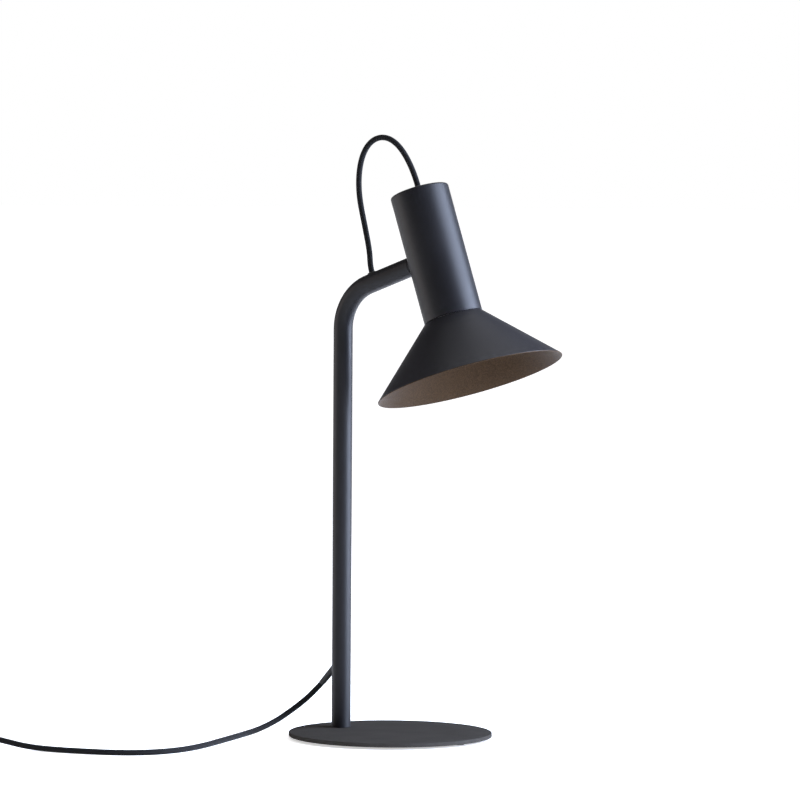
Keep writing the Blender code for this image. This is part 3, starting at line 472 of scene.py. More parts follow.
def powder_coat(name, color, roughness, gloss):
    """Satin powder coat: a fine orange peel, a little mottling, and rubbed edges."""
    coat = Finish(name, color, roughness, specular_ior_level=gloss)
    peel = coat.noise(1300, 3)
    cloud = coat.noise(30, 3)
    tone = coat.blend(coat.spread(cloud, 0.3, 0.7, 0, 1), toned(color, 0.92), toned(color, 1.08))
    tone = coat.blend(coat.spread(peel, 0.35, 0.65, 0, 0.25), tone, toned(color, 1.45))
    rubbed = coat.math("MULTIPLY", coat.wear(), 0.35)
    coat.set("Base Color", coat.blend(rubbed, tone, toned(color, 2.2)))
    rough = coat.spread(cloud, 0.3, 0.7, roughness - 0.03, roughness + 0.03)
    coat.set("Roughness", coat.math("SUBTRACT", rough, coat.math("MULTIPLY", rubbed, 0.25)))
    coat.bump(coat.math("ADD", peel, coat.math("MULTIPLY", coat.noise(420, 2), 0.7)), 0.04 * MM, 0.5)
    return coat.material


def copper_coat(name, color, roughness):
    """Fine-grained metallic lacquer, with flakes of two tones."""
    coat = Finish(name, color, roughness, metallic=0.05, specular_ior_level=0.05)
    flake = coat.math("ADD", coat.noise(800, 2), coat.math("MULTIPLY", coat.noise(2200, 2), 0.6))
    flake = coat.math("MULTIPLY", flake, 0.625)
    cloud = coat.noise(26, 3)
    tone = coat.blend(coat.spread(flake, 0.4, 0.6, 0, 1), toned(color, 0.68), toned(color, 1.36))
    tone = coat.blend(coat.spread(cloud, 0.3, 0.7, 0, 0.25), tone, toned(color, 1.2))
    coat.set("Base Color", tone)
    coat.set("Roughness", coat.spread(flake, 0.3, 0.7, roughness + 0.08, roughness - 0.06))
    coat.bump(flake, 0.03 * MM, 0.6)
    return coat.material


def braid(name, color):
    """A round braid: two sets of strands wound opposite ways, passing over and under each other."""
    cloth = Finish(name, color, 0.85, specular_ior_level=0.12, sheen_weight=0.02)
    uv = cloth.node("ShaderNodeUVMap", uv_map="braid").outputs["UV"]
    parts = cloth.node("ShaderNodeSeparateXYZ", {"Vector": uv})
    strands, pitch = 10, 1.35 * MM
    around = cloth.math("MULTIPLY", parts.outputs["X"], strands)
    along = cloth.math("DIVIDE", parts.outputs["Y"], pitch)
    right, left = cloth.math("ADD", around, along), cloth.math("SUBTRACT", around, along)
    cell = cloth.node("ShaderNodeCombineXYZ", {"X": right, "Y": left}).outputs[0]
    over = cloth.node("ShaderNodeTexChecker", {"Vector": cell, "Scale": 1.0}).outputs["Fac"]
    crowns = []
    for strand in (right, left):
        ridge = cloth.math("MULTIPLY", cloth.math("PINGPONG", strand, 0.5), 2)
        crowns.append(cloth.math("POWER", ridge, 0.6))
    height = cloth.node("ShaderNodeMix", {"Factor": over, "A": crowns[0], "B": crowns[1]}).outputs[0]
    inputs = {"Vector": cell, "Scale": 7.0, "Detail": 3}
    yarn = cloth.node("ShaderNodeTexNoise", inputs).outputs["Fac"]
    # Painted shade and highlight: the colour darkens in the valleys between strands and lightens on their crowns.
    tone = cloth.blend(cloth.spread(height, 0.2, 0.95, 0, 1), toned(color, 0.35), toned(color, 1.5))
    fleck = cloth.spread(cloth.noise(900, 3), 0.6, 0.75, 0, 0.35)
    cloth.set("Base Color", cloth.blend(fleck, tone, toned(color, 3.2)))
    cloth.set("Roughness", cloth.spread(yarn, 0.2, 0.8, 0.72, 0.92))
    cloth.bump(cloth.math("ADD", height, cloth.math("MULTIPLY", yarn, 0.25)), 0.22 * MM, 0.8)
    return cloth.material


def moulding(name, color, roughness, scale=1100, depth=0.03):
    """Moulded plastic, rubber or glaze: spark texture, faint clouds and rubbed edges."""
    mould = Finish(name, color, roughness)
    spark = mould.noise(scale, 3)
    cloud = mould.noise(70, 3)
    tone = mould.blend(mould.spread(cloud, 0.3, 0.7, 0, 1), toned(color, 0.88), toned(color, 1.1))
    mould.set("Base Color", mould.blend(mould.math("MULTIPLY", mould.wear(), 0.3), tone, toned(color, 1.8)))
    mould.set("Roughness", mould.spread(cloud, 0.25, 0.75, roughness - 0.06, roughness + 0.06))
    mould.bump(spark, depth * MM, 0.5)
    return mould.material


def metal(name, color, roughness):
    """Plated or turned metal: fine drawn lines, stains and brighter rubbed edges."""
    plate = Finish(name, color, roughness, metallic=1.0)
    lines = plate.noise(1, 3, (40, 40, 700))
    stain = plate.noise(90, 4)
    tone = plate.blend(plate.spread(stain, 0.35, 0.7, 0, 1), toned(color, 0.8), color)
    plate.set("Base Color", plate.blend(plate.math("MULTIPLY", plate.wear(), 0.4), tone, toned(color, 1.25)))
    plate.set("Roughness", plate.spread(lines, 0.3, 0.7, roughness - 0.07, roughness + 0.1))
    plate.bump(lines, 0.02 * MM, 0.4)
    return plate.material


def woven_sleeve(name, color):
    """Glass-fibre sleeving: a fine cross weave."""
    sleeve = Finish(name, color, 0.7)
    wave_inputs = {"Vector": sleeve.place, "Scale": 900.0, "Distortion": 2.0}
    wave = sleeve.node("ShaderNodeTexWave", wave_inputs, bands_direction="DIAGONAL").outputs["Fac"]
    # Painted shade: the colour darkens where the weave is low.
    sleeve.set("Base Color", sleeve.blend(wave, toned(color, 0.75), color))
    sleeve.set("Roughness", sleeve.spread(sleeve.noise(500, 3), 0.3, 0.7, 0.6, 0.8))
    sleeve.bump(wave, 0.05 * MM, 0.6)
    return sleeve.material


def frosted_glass(name, color):
    """The lamp's front: frosted, pale and a little milky."""
    glass = Finish(name, color, 0.25, ior=1.5, coat_weight=0.4, coat_roughness=0.08)
    frost = glass.noise(1500, 3)
    haze = glass.noise(120, 3)
    glass.set("Base Color", glass.blend(glass.spread(haze, 0.3, 0.7, 0, 1), toned(color, 0.9), color))
    glass.set("Roughness", glass.spread(frost, 0.3, 0.7, 0.18, 0.36))
    glass.bump(frost, 0.02 * MM, 0.4)
    return glass.material


PAINT = powder_coat("anthracite_paint", (0.0082, 0.008, 0.0092), 0.44, 0.19)
BASE_PAINT = powder_coat("matt_base_paint", (0.034, 0.0315, 0.0285), 0.7, 0.0)
SHADE_PAINT = powder_coat("shade_outside_paint", (0.0088, 0.0086, 0.0108), 0.46, 0.19)
COPPER = copper_coat("shade_inside_paint", (0.029, 0.0165, 0.0078), 0.5)
TEXTILE = braid("black_textile", (0.006, 0.006, 0.0066))
BLACK = moulding("black_plastic", (0.016, 0.016, 0.017), 0.46)
RUBBER = moulding("black_rubber", (0.013, 0.013, 0.013), 0.66, 700, 0.05)
NYLON = moulding("white_nylon", (0.7, 0.69, 0.64), 0.5)
CERAMIC = moulding("white_ceramic", (0.74, 0.72, 0.67), 0.3, 260, 0.05)
LAMP_WHITE = moulding("lamp_white", (0.72, 0.72, 0.71), 0.34, 900, 0.02)
STEEL = metal("zinc_steel", (0.56, 0.56, 0.57), 0.34)
ALUMINIUM = metal("turned_aluminium", (0.66, 0.66, 0.68), 0.32)
BRASS = metal("turned_brass", (0.71, 0.52, 0.24), 0.3)
NICKEL = metal("nickel_pins", (0.66, 0.63, 0.58), 0.22)
SLEEVING = woven_sleeve("wire_sleeving", (0.66, 0.62, 0.54))
LENS = frosted_glass("lamp_lens", (0.78, 0.79, 0.78))
HOOK_TAPE = moulding("black_hook_tape", (0.015, 0.015, 0.016), 0.85, 1600, 0.12)

CARRIED_OVER = {
    "anthracite_paint": PAINT, "shade_paint": SHADE_PAINT, "zinc_steel": STEEL, "aluminium": ALUMINIUM,
    "brass": BRASS, "black_plastic": BLACK, "black_rubber": RUBBER, "white_nylon": NYLON,
    "white_ceramic": CERAMIC, "black_textile": TEXTILE, "wire_sleeving": SLEEVING, "lamp_white": LAMP_WHITE,
    "lamp_lens": LENS,
}

# ---------------------------------------------------------------- cords


def from_stem(route):
    """A route in millimetres from the stem's axis, in metres in the lamp's frame."""
    return [(STEM_X + x * MM, y * MM, z * MM) for x, y, z in route]


def coil_route():
    """A flat spiral inwards on the table, a step up, and a spiral outwards on top of it.

    It starts on the coil's -X side, heading -Y, and ends on its -Y side, heading +X.
    """
    turns = np.arange(0, COIL_TURNS + TINY, 1 / COIL_POINTS)
    flat = COIL_TURNS / 2
    climb = 0.15
    at = [0, flat - climb, flat + climb, COIL_TURNS]
    lanes = np.interp(turns, at, [COIL_OUTER_LANE, COIL_INNER_LANE, COIL_INNER_LANE, COIL_OUTER_LANE])
    heights = np.interp(turns, at, [COIL_LOW, COIL_LOW, COIL_HIGH, COIL_HIGH])
    angles = math.pi + math.tau * turns
    x = STEM_X + COIL_PLACE[0] + lanes * np.cos(angles)
    y = COIL_PLACE[1] + lanes * np.sin(angles)
    return list(zip(x, y, heights))


def in_head(along, up, across=0.0):
    return HEAD @ Vector((along, across, up))


LEAD_LINE = smooth_line([*from_stem(LEAD_ROUTE), *coil_route(), *from_stem(TAIL_ROUTE)], RING_STEP)
LOOP_LINE = smooth_line([in_head(along * MM, up * MM) for along, up in LOOP_ROUTE], RING_STEP)


def supply_cord():
    cord = sweep("supply_flex", LEAD_LINE, CORD_RADIUS, 20, [TEXTILE])
    stand_for(cord, "supply_cord", "cord_link", "supply_coil", "cord_tail")
    return cord


def loop_cord():
    """The slack loop from the cap to the arm."""
    cord = sweep("loop_flex", LOOP_LINE, CORD_RADIUS, 20, [TEXTILE])
    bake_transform(cord)
    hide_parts("loop_cord")
    return cord


SUPPLY = supply_cord()
LOOP = loop_cord()


# ---------------------------------------------------------------- base and stem


def base_disc():
    top_edge, low_edge = 0.9 * MM, 0.5 * MM
    profile = [(0, BASE_TOP), (60 * MM, BASE_TOP)]
    profile += arc(BASE_RADIUS - top_edge, BASE_TOP - top_edge, top_edge, 90, 0, 6)
    profile += arc(BASE_RADIUS - low_edge, BASE_BOTTOM + low_edge, low_edge, 0, -90, 4)
    profile += [(60 * MM, BASE_BOTTOM), (0, BASE_BOTTOM)]
    at = Matrix.Translation((BASE.x, 0, 0))
    disc = revolve("base_disc", profile, at, 192, False, [BASE_PAINT])
    top, low = BASE_TOP + GAP, BASE_BOTTOM - GAP
    sink = [(0, top), (3.3 * MM, top), (3.3 * MM, BASE_BOTTOM + 3 * MM), (6.4 * MM, low), (0, low)]
    cut(disc, revolve("sink_cutter", sink, Matrix.Translation((STEM_X, 0, 0)), 48, False))
    pin = middle("locating_pin")
    drill(disc, 1.8 * MM, (pin.x, 0, BASE_BOTTOM + 2.1 * MM), (pin.x, 0, top))
    stand_for(disc, "base_plate")


def foot_pads():
    """Rubber pads with a bevelled lower edge and a shallow ring groove in the sole."""
    for number in range(1, 4):
        node = f"foot_{number}"
        at, height, radius = middle(node), size(node).z, size(node).x / 2
        profile = [(0, height), (radius - 0.2 * MM, height), (radius, height - 0.2 * MM)]
        profile += arc(radius - 0.9 * MM, 0.7 * MM, 0.7 * MM, 0, -90, 4)
        profile += [(4.4 * MM, 0), (4.1 * MM, 0.4 * MM), (3.3 * MM, 0.4 * MM), (3 * MM, 0), (0, 0)]
        pad = revolve(f"foot_pad_{number}", profile, Matrix.Translation((at.x, at.y, 0)), 64, False, [RUBBER])
        stand_for(pad, node)


def stem_line():
    """The stem's centre line, with close rows near the two cord holes."""
    low = BASE_TOP + GAP
    heights = [low, 20 * MM, 40 * MM, *np.arange(50, 81, 2) * MM, *np.arange(100, 400, 50) * MM]
    points = [(STEM_X, 0, height) for height in heights]
    for angle in np.linspace(0, math.pi / 2 - ARM_RISE, 40):
        x = STEM_X + BEND_RADIUS * (1 - math.cos(angle))
        points.append((x, 0, COLUMN_TOP + BEND_RADIUS * math.sin(angle)))
    for distance in [*np.arange(-87.5, -72, 1.5) * MM, -60 * MM, -45 * MM, -JOINT_PLANE - GAP]:
        points.append(in_head(distance, 0))
    return points


def stem_body():
    stem = sweep("stem_body", stem_line(), TUBE_RADIUS, 96, [PAINT], caps=False)
    wall = stem.modifiers.new("wall", "SOLIDIFY")
    wall.thickness = TUBE_WALL
    wall.offset = -1
    wall.use_even_offset = True
    bake(stem)
    fall = Vector((-math.cos(CORD_FALL), 0, -math.sin(CORD_FALL)))
    hole = Vector((STEM_X - TUBE_RADIUS, 0, CORD_HOLE_HEIGHT))
    drill(stem, 3.7 * MM, hole - 6 * MM * fall, hole + 8 * MM * fall)
    drill(stem, 3.9 * MM, in_head(LOOP_HOLE, 4 * MM), in_head(LOOP_HOLE, 14 * MM))
    stand_for(stem, "stem_tube")


def exit_sleeve():
    """The tapered rubber sleeve on the lead, along its first few centimetres."""
    steps = round(SLEEVE_LENGTH / RING_STEP)
    first = LEAD_LINE[: steps + 1]
    inward = (first[0] - first[1]) / np.linalg.norm(first[0] - first[1])
    line = [first[0] + inward * 4.2 * MM, first[0] + inward * 2 * MM, *first]
    radii = [*np.linspace(3.45, 3.02, len(line) - 1) * MM, CORD_RADIUS - 0.1 * MM]
    sleeve = sweep("exit_sleeve", line, radii, 40, [RUBBER])
    stand_for(sleeve, "cord_exit_bush")


def arm_bush():
    """The round bush in the arm's upper side. Its flange follows the tube's curve."""
    top = TUBE_RADIUS
    profile = [(CORD_BORE, top + 0.9 * MM), (3.3 * MM, top + 1.05 * MM), (3.9 * MM, top + 0.95 * MM)]
    profile += [(4.4 * MM, top + 0.65 * MM), (4.65 * MM, top + 0.15 * MM), (3.6 * MM, top + 0.1 * MM)]
    profile += [(3.6 * MM, 6.6 * MM), (CORD_BORE, 6.6 * MM)]
    bush = revolve("arm_bush", profile, HEAD @ Matrix.Translation((LOOP_HOLE, 0, 0)), 64, True, [RUBBER])
    for vert in bush.data.vertices:
        vert.co.z -= TUBE_RADIUS - math.sqrt(TUBE_RADIUS**2 - vert.co.y**2)
    stand_for(bush, "arm_grommet")


# ---------------------------------------------------------------- head


def saddle():
    """The collar between the arm and the head. One end is flat, and the other fits the head's round wall."""
    outer, bore, plane = TUBE_RADIUS, 3.4 * MM, JOINT_PLANE
    seat = HEAD_RADIUS + GAP / 2
    chamfer = 0.35 * MM
    rows = []
    steps = 96
    profile = [(outer, None), (outer, plane - chamfer), (outer - chamfer, plane), (bore, plane), (bore, None)]
    for radius, flat in profile:
        row = []
        for i in range(steps):
            angle = math.tau * i / steps
            y, z = radius * math.cos(angle), radius * math.sin(angle)
            distance = math.sqrt(seat**2 - y**2) if flat is None else flat
            row.append(in_head(-distance, z, y))
        rows.append(row)
    bm = bmesh.new()
    made_rows = [[bm.verts.new(point) for point in row] for row in rows]
    for first, second in zip(made_rows, made_rows[1:] + made_rows[:1]):
        for i in range(steps):
            j = (i + 1) % steps
            bm.faces.new((first[i], first[j], second[j], second[i]))
    stand_for(new_object("saddle_collar", bm, PAINT), "swivel_saddle")


def head_shell():
    inner = HEAD_RADIUS - HEAD_WALL
    ceiling = HEAD_UP - HEAD_WALL
    hole, nick = 5.3 * MM, 0.35 * MM
    profile = [(hole, HEAD_UP), (20 * MM, HEAD_UP)]
    profile += arc(HEAD_RADIUS - HEAD_EDGE, HEAD_UP - HEAD_EDGE, HEAD_EDGE, 90, 0, 8)
    profile += [(HEAD_RADIUS, height * MM) for height in (40, 20, 0, -20, -40)]
    profile += [(HEAD_RADIUS, -HEAD_DOWN + nick), (HEAD_RADIUS - nick, -HEAD_DOWN)]
    profile += [(inner, -HEAD_DOWN), (inner, ceiling - MM), (inner - MM, ceiling), (hole, ceiling)]
    shell = revolve("head_shell", profile, HEAD, 160, True, [PAINT])
    drill(shell, 3.6 * MM, in_head(-24 * MM, 0), in_head(-34 * MM, 0))
    stand_for(shell, "head_housing")


def cap_nipple():
    """The hollow nipple through the cap, with a domed collar and a fine lip round the cord."""
    nose, flange = HEAD_UP + 5.3 * MM, HEAD_UP + 0.1 * MM
    profile = [(CORD_BORE, nose - 0.3 * MM), (3.3 * MM, nose), (3.9 * MM, nose - 0.25 * MM)]
    profile += [(4.3 * MM, nose - 1.1 * MM), (4.5 * MM, nose - 2 * MM), (5.2 * MM, flange + 2 * MM)]
    profile += arc(5.5 * MM, flange + 0.9 * MM, 0.9 * MM, 70, 0, 4)
    profile += [(6.4 * MM, flange), (5 * MM, flange), (5 * MM, 56.5 * MM), (CORD_BORE, 56.5 * MM)]
    stand_for(revolve("cap_nipple", profile, HEAD, 96, True, [BLACK]), "cap_gland")


def shade_cone():
    """The spun cone: powder coat outside, copper lacquer inside, with a softly rounded rim."""
    top = -HEAD_DOWN - GAP
    rim = -HEAD_DOWN - SHADE_LENGTH
    slant = SHADE_SHEET * math.sqrt(2)
    bore = HEAD_RADIUS - HEAD_WALL
    lip = SHADE_SHEET / 2
    outer_top = Vector((HEAD_RADIUS, top))
    outer_rim = Vector((SHADE_RADIUS - 0.1 * MM, rim + 0.9 * MM))
    profile = [(bore, top), (HEAD_RADIUS - 0.3 * MM, top)]
    profile += [tuple(outer_top.lerp(outer_rim, part)) for part in (0.004, 0.2, 0.4, 0.6, 0.8, 1)]
    inner_from = len(profile)
    profile += arc(SHADE_RADIUS - lip - 0.1 * MM, rim + lip, lip, 20, -120, 6)
    profile += [(SHADE_RADIUS - slant, rim + 0.35 * MM)]
    inner_rim, inner_top = Vector(profile[-1]), Vector((HEAD_RADIUS + SHADE_SHEET - slant, top - SHADE_SHEET))
    profile += [tuple(inner_rim.lerp(inner_top, part)) for part in (0.2, 0.4, 0.6, 0.8, 1)]
    profile += [(bore, top - SHADE_SHEET)]
    shade = revolve("shade_cone", profile, HEAD, 224, True, [SHADE_PAINT, COPPER], inner_from)
    stand_for(shade, "shade")


def clamp_ring():
    """The threaded ring that holds the shade, with finger flutes round its edge."""
    top = -HEAD_DOWN - GAP - SHADE_SHEET - GAP
    bore = HEAD_RADIUS - HEAD_WALL
    profile = [(bore, top), (28.2 * MM, top), (30.6 * MM, top - 2.7 * MM)]
    profile += [(31 * MM, top - 3.2 * MM), (31 * MM, top - 3.7 * MM)]
    profile += [(30.6 * MM, top - 4.1 * MM), (26.2 * MM, top - 4.9 * MM)]
    profile += [(25.5 * MM, top - 4.6 * MM), (25.5 * MM, -68.7 * MM), (bore, -68.7 * MM)]
    flutes, steps = 30, 240
    ring = revolve("clamp_ring", profile, HEAD, steps, True, [ALUMINIUM])
    for vert in ring.data.vertices:
        radius = vert.co.xy.length
        if radius > 30 * MM:
            angle = math.atan2(vert.co.y, vert.co.x)
            vert.co.xy *= 1 - 0.5 * MM / radius * max(0, math.cos(flutes * angle))
    stand_for(ring, "shade_ring")


def neck_thread():
    """The aluminium sleeve inside the head's lower end, with a fine thread turned in its bore."""
    low, high, outer = -68.4 * MM, -50 * MM, HEAD_RADIUS - HEAD_WALL - 0.1 * MM
    pitch, threads = 1 * MM, 9
    profile = [(outer, high), (outer, low), (26 * MM, low), (25.6 * MM, low + 0.4 * MM)]
    for turn in range(threads):
        start = low + 0.6 * MM + turn * pitch
        profile += [(25.6 * MM, start), (26 * MM, start + pitch * 0.4), (25.6 * MM, start + pitch * 0.8)]
    profile += [(25.6 * MM, high)]
    stand_for(revolve("neck_thread", profile, HEAD, 128, True, [ALUMINIUM]), "neck_sleeve")


def spot_lamp():
    """The reflector lamp: a waisted body, a front rim, and two contact pins."""
    profile = [(0, -11.4 * MM), (12.6 * MM, -11.4 * MM), (13.4 * MM, -12.2 * MM), (14 * MM, -20 * MM)]
    flare = [Vector((14 * MM, -21 * MM)), Vector((19 * MM, -32 * MM)), Vector((23.6 * MM, -44 * MM))]
    for first, second in zip(flare, flare[1:]):
        profile += [tuple(first.lerp(second, part)) for part in (0, 0.25, 0.5, 0.75)]
    profile += [(23.6 * MM, -44 * MM), (25 * MM, -50 * MM), (25 * MM, -57.2 * MM)]
    profile += arc(24.3 * MM, -57.3 * MM, 0.7 * MM, 0, -180, 8)
    profile += [(23.5 * MM, -57.2 * MM), (23.2 * MM, -54.4 * MM), (0, -54.4 * MM)]
    body = revolve("reflector_lamp", profile, HEAD, 144, False, [LAMP_WHITE])
    pins = [(0, -4.4 * MM), (2.4 * MM, -4.4 * MM), (2.4 * MM, -7 * MM), (1.6 * MM, -7.4 * MM)]
    pins += [(1.6 * MM, -14 * MM), (0, -14 * MM)]
    for across in (-5 * MM, 5 * MM):
        at = HEAD @ Matrix.Translation((across, 0, 0))
        cut(body, revolve("lamp_pin", pins, at, 24, False, [LAMP_WHITE]), "UNION")
    stand_for(body, "lamp_body")


def lamp_front():
    """The lamp's lens: a shallow dome covered in rings of small domed facets."""
    radius, edge, crown = 22.9 * MM, -56.6 * MM, -58 * MM
    steps, rings, bands, facets = 216, 48, 8, 36
    bm = bmesh.new()
    front, back = [], []
    for row in range(rings + 1):
        r = radius * row / rings
        ring_front = []
        count = 1 if row == 0 else steps
        for i in range(count):
            angle = math.tau * i / count
            band = math.sin(math.pi * ((row * bands / rings) % 1))
            facet = abs(math.cos(facets / 2 * angle + math.pi / 2 * (row * bands // rings % 2)))
            rise = 0.28 * MM * band * facet if r < 0.96 * radius else 0
            height = crown + (edge - crown) * (r / radius) ** 2 - rise
            ring_front.append(bm.verts.new((r * math.cos(angle), r * math.sin(angle), height)))
        front.append(ring_front)
    back_height = -54.7 * MM
    for r in (radius, 0):
        count = 1 if r == 0 else steps
        angles = [math.tau * i / count for i in range(count)]
        back.append([bm.verts.new((r * math.cos(a), r * math.sin(a), back_height)) for a in angles])
    rows = front + back
    for first, second in zip(rows, rows[1:]):
        for i in range(steps):
            bm.faces.new(corners_between(first, second, i))
    lens = new_object("lamp_front", bm, LENS)
    lens.matrix_world = HEAD
    stand_for(lens, "lamp_lens")


# ---------------------------------------------------------------- switch, tie and plug


def boot(name, node, matrix, length, root, tip, ribs):
    """A tapered strain relief with ribs that are cut round it. Z runs from its root to its tip."""
    profile = [(CORD_BORE, 0), (root, 0), (root, 2.2 * MM)]
    start, end = 3 * MM, length - 2.2 * MM
    pitch = (end - start) / ribs
    for number in range(ribs):
        for part, depth in ((0, 0), (0.12, 0.62), (0.42, 0.62), (0.54, 0)):
            height = start + (number + part) * pitch
            radius = root + (tip - root) * height / length - depth * MM
            profile.append((max(radius, CORD_BORE + 0.25 * MM), height))
    profile += [(tip, end), (tip, length - 0.4 * MM), (tip - 0.3 * MM, length), (CORD_BORE, length)]
    stand_for(revolve(name, profile, matrix, 48, True, [RUBBER]), node)


def switch_shells(at):
    """Two moulded halves round one cavity. The cover has a round-ended window for the rocker."""
    half, side = SWITCH_LENGTH / 2, SWITCH_WIDTH / 2
    corner, reveal = 6 * MM, 0.35 * MM
    split, top = SWITCH_SPLIT, SWITCH_HEIGHT
    low = soft_block("switch_base", half, side, 0, split, corner, 1.4 * MM, reveal, at, [BLACK])
    cover = soft_block("switch_cover", half, side, split + GAP, top, corner, reveal, 3.2 * MM, at, [BLACK])
    for shell in (low, cover):
        cavity = rounded_rectangle(17 * MM, side - 2 * MM, 1 * MM, 2 * MM)
        roof = [(x, y, top - 2 * MM) for x, y, _ in cavity]
        cut(shell, stack("cavity_cutter", [cavity, roof], at))
    play = 0.5 * MM
    window = rounded_rectangle(ROCKER_RADIUS + play, ROCKER_WIDTH / 2 + play, 1.2 * MM, top - 4 * MM)
    cut(cover, stack("window_cutter", [window, [(x, y, top + MM) for x, y, _ in window]], at))
    seat_end = side - 0.6 * MM
    height = ROCKING["pos_m"][2]
    center = at.translation
    drill(cover, 1.35 * MM, (center.x, center.y - seat_end, height), (center.x, center.y + seat_end, height))
    for number, way in enumerate((1, -1), 1):
        place = middle(f"switch_screw_{number}")
        drill(low, 1.7 * MM, (place.x, place.y, -MM), (place.x, place.y, 12 * MM))
        drill(low, 3.1 * MM, (place.x, place.y, -MM), (place.x, place.y, 2.6 * MM))
        drill(cover, 1.7 * MM, (place.x, place.y, 5 * MM), (place.x, place.y, 15 * MM))
        turn = Matrix.Rotation(way * math.pi / 2, 4, "Y")
        boot_at = at @ Matrix.Translation((way * (half + 0.1 * MM), 0, SWITCH_CORD_HEIGHT)) @ turn
        node = f"switch_relief_{number}"
        boot(f"switch_boot_{number}", node, boot_at, 19.8 * MM, 5.2 * MM, 3.4 * MM, 5)
    stand_for(low, "switch_lower_shell")
    stand_for(cover, "switch_upper_shell")


def grip_ridge(x):
    """The height of the grip ridges on the rocker, at a distance from its middle."""
    if not 2.6 * MM < abs(x) < 6.8 * MM:
        return 0
    return 0.22 * MM * max(0, math.cos(math.tau * (abs(x) / MM - 3.2) / 1.2))


def rocker():
    """The rocker's rounded top has a shallow valley, with grip ridges on each half."""
    radius, half = ROCKER_RADIUS, ROCKER_WIDTH / 2
    outline = arc(0, 0, radius, -20, 30, 6)
    valley = 4.4 * MM
    for x in np.linspace(7.2, -7.2, 49) * MM:
        share = abs(x) / (7.2 * MM)
        outline.append((x, valley + 0.7 * MM * share**1.6 + grip_ridge(x)))
    outline += arc(0, 0, radius, 150, 200, 6)
    tilt = Matrix.Rotation(ROCKER_TILT, 4, "Y") @ Matrix.Rotation(math.pi / 2, 4, "X")
    at = Matrix.Translation(ROCKING["pos_m"]) @ tilt
    edge = 0.4 * MM
    end = 1 - edge / radius
    outlines = []
    for z, shrink in ((-half, end), (edge - half, 1), (half - edge, 1), (half, end)):
        outlines.append([(x * shrink, y * shrink, z) for x, y in outline])
    cap = stack("rocker_cap", outlines, at, [BLACK])
    place = Vector(ROCKING["pos_m"])
    drill(cap, 1.35 * MM, place - SIDE * 8 * MM, place + SIDE * 8 * MM)
    stand_for(cap, "switch_rocker")


def coil_tie():
    """A strip of hook tape round the coil, with its end lapped over the top."""
    thick, width = 0.7 * MM, 9 * MM
    upright = Matrix.Rotation(math.radians(50), 4, "Z") @ Matrix.Rotation(math.pi / 2, 4, "X")
    at = Matrix.Translation((STEM_X + COIL_PLACE[0], COIL_PLACE[1], 0)) @ upright
    inner, outer = COIL_INNER_LANE - CORD_RADIUS, COIL_OUTER_LANE + CORD_RADIUS
    bottom, top = thick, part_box("coil_strap")[1][2] - thick
    half_x, half_y = (outer - inner) / 2 + 0.6 * MM, (top - bottom) / 2
    turn = Matrix.Translation(((inner + outer) / 2, (top + bottom) / 2, 0))
    hole = rounded_rectangle(half_x, half_y, 2.6 * MM, -width / 2, 8)
    skin = rounded_rectangle(half_x + thick, half_y + thick, 3.3 * MM, -width / 2, 8)
    band = stack("coil_tie", [skin, [(x, y, width / 2) for x, y, _ in skin]], at @ turn, [HOOK_TAPE])
    deep = [(x, y, z * 1.4) for x, y, z in hole]
    cut(band, stack("tie_cutter", [deep, [(x, y, -z) for x, y, z in deep]], at @ turn))
    lap_turn = Matrix.Translation((0, half_y + thick - 0.25 * MM, 0)) @ Matrix.Rotation(-math.pi / 2, 4, "X")
    lap_at = at @ turn @ lap_turn
    half_width = width / 2 - 0.2 * MM
    lap = soft_block("lap", 5.5 * MM, half_width, 0, 0.8 * MM, 1.5 * MM, 0.1 * MM, 0.3 * MM, lap_at)
    cut(band, lap, "UNION")
    stand_for(band, "coil_strap")


def plug_moulding(at):
    """The plug's waisted body, with rounded edges and grip grooves across both faces."""
    side, neck, thick = PLUG_WIDTH / 2, 6.5 * MM, PLUG_THICK / 2
    edge = 2.2 * MM
    half = [(0, side - 1.2 * MM), (-1.2 * MM, side)]
    half += [(-8 * MM, side - 0.3 * MM), (-15 * MM, side - 1.1 * MM), (-20 * MM, side - 2.2 * MM)]
    half += [(-25 * MM, side - 4.6 * MM), (-30 * MM, side - 8 * MM)]
    half += [(-34 * MM, neck + 0.7 * MM), (-PLUG_LENGTH, neck)]
    outline = half + [(x, -y) for x, y in reversed(half)]
    center = -PLUG_LENGTH / 2
    outlines = []
    for angle in np.radians(np.linspace(-90, 90, 13)):
        lift = math.copysign(thick - edge, angle) if abs(angle) > TINY else 0
        inset = edge * (1 - math.cos(angle))
        wide, long, height = 1 - inset / side, 1 - 2 * inset / PLUG_LENGTH, lift + edge * math.sin(angle)
        outlines.append([(center + (x - center) * long, y * wide, height) for x, y in outline])
    body = stack("plug_shell", outlines, at, [BLACK])
    groove = rounded_rectangle(0.7 * MM, 8.5 * MM, 0.6 * MM, 0, 4)
    for middle_x in np.arange(-27, -17, 3) * MM:
        for low, high in ((-thick - 0.4 * MM, 0.6 * MM - thick), (thick - 0.6 * MM, thick + 0.4 * MM)):
            levels = [[(x + middle_x, y, level) for x, y, _ in groove] for level in (low, high)]
            cut(body, stack("groove_cutter", levels, at))
    stand_for(body, "plug_body")


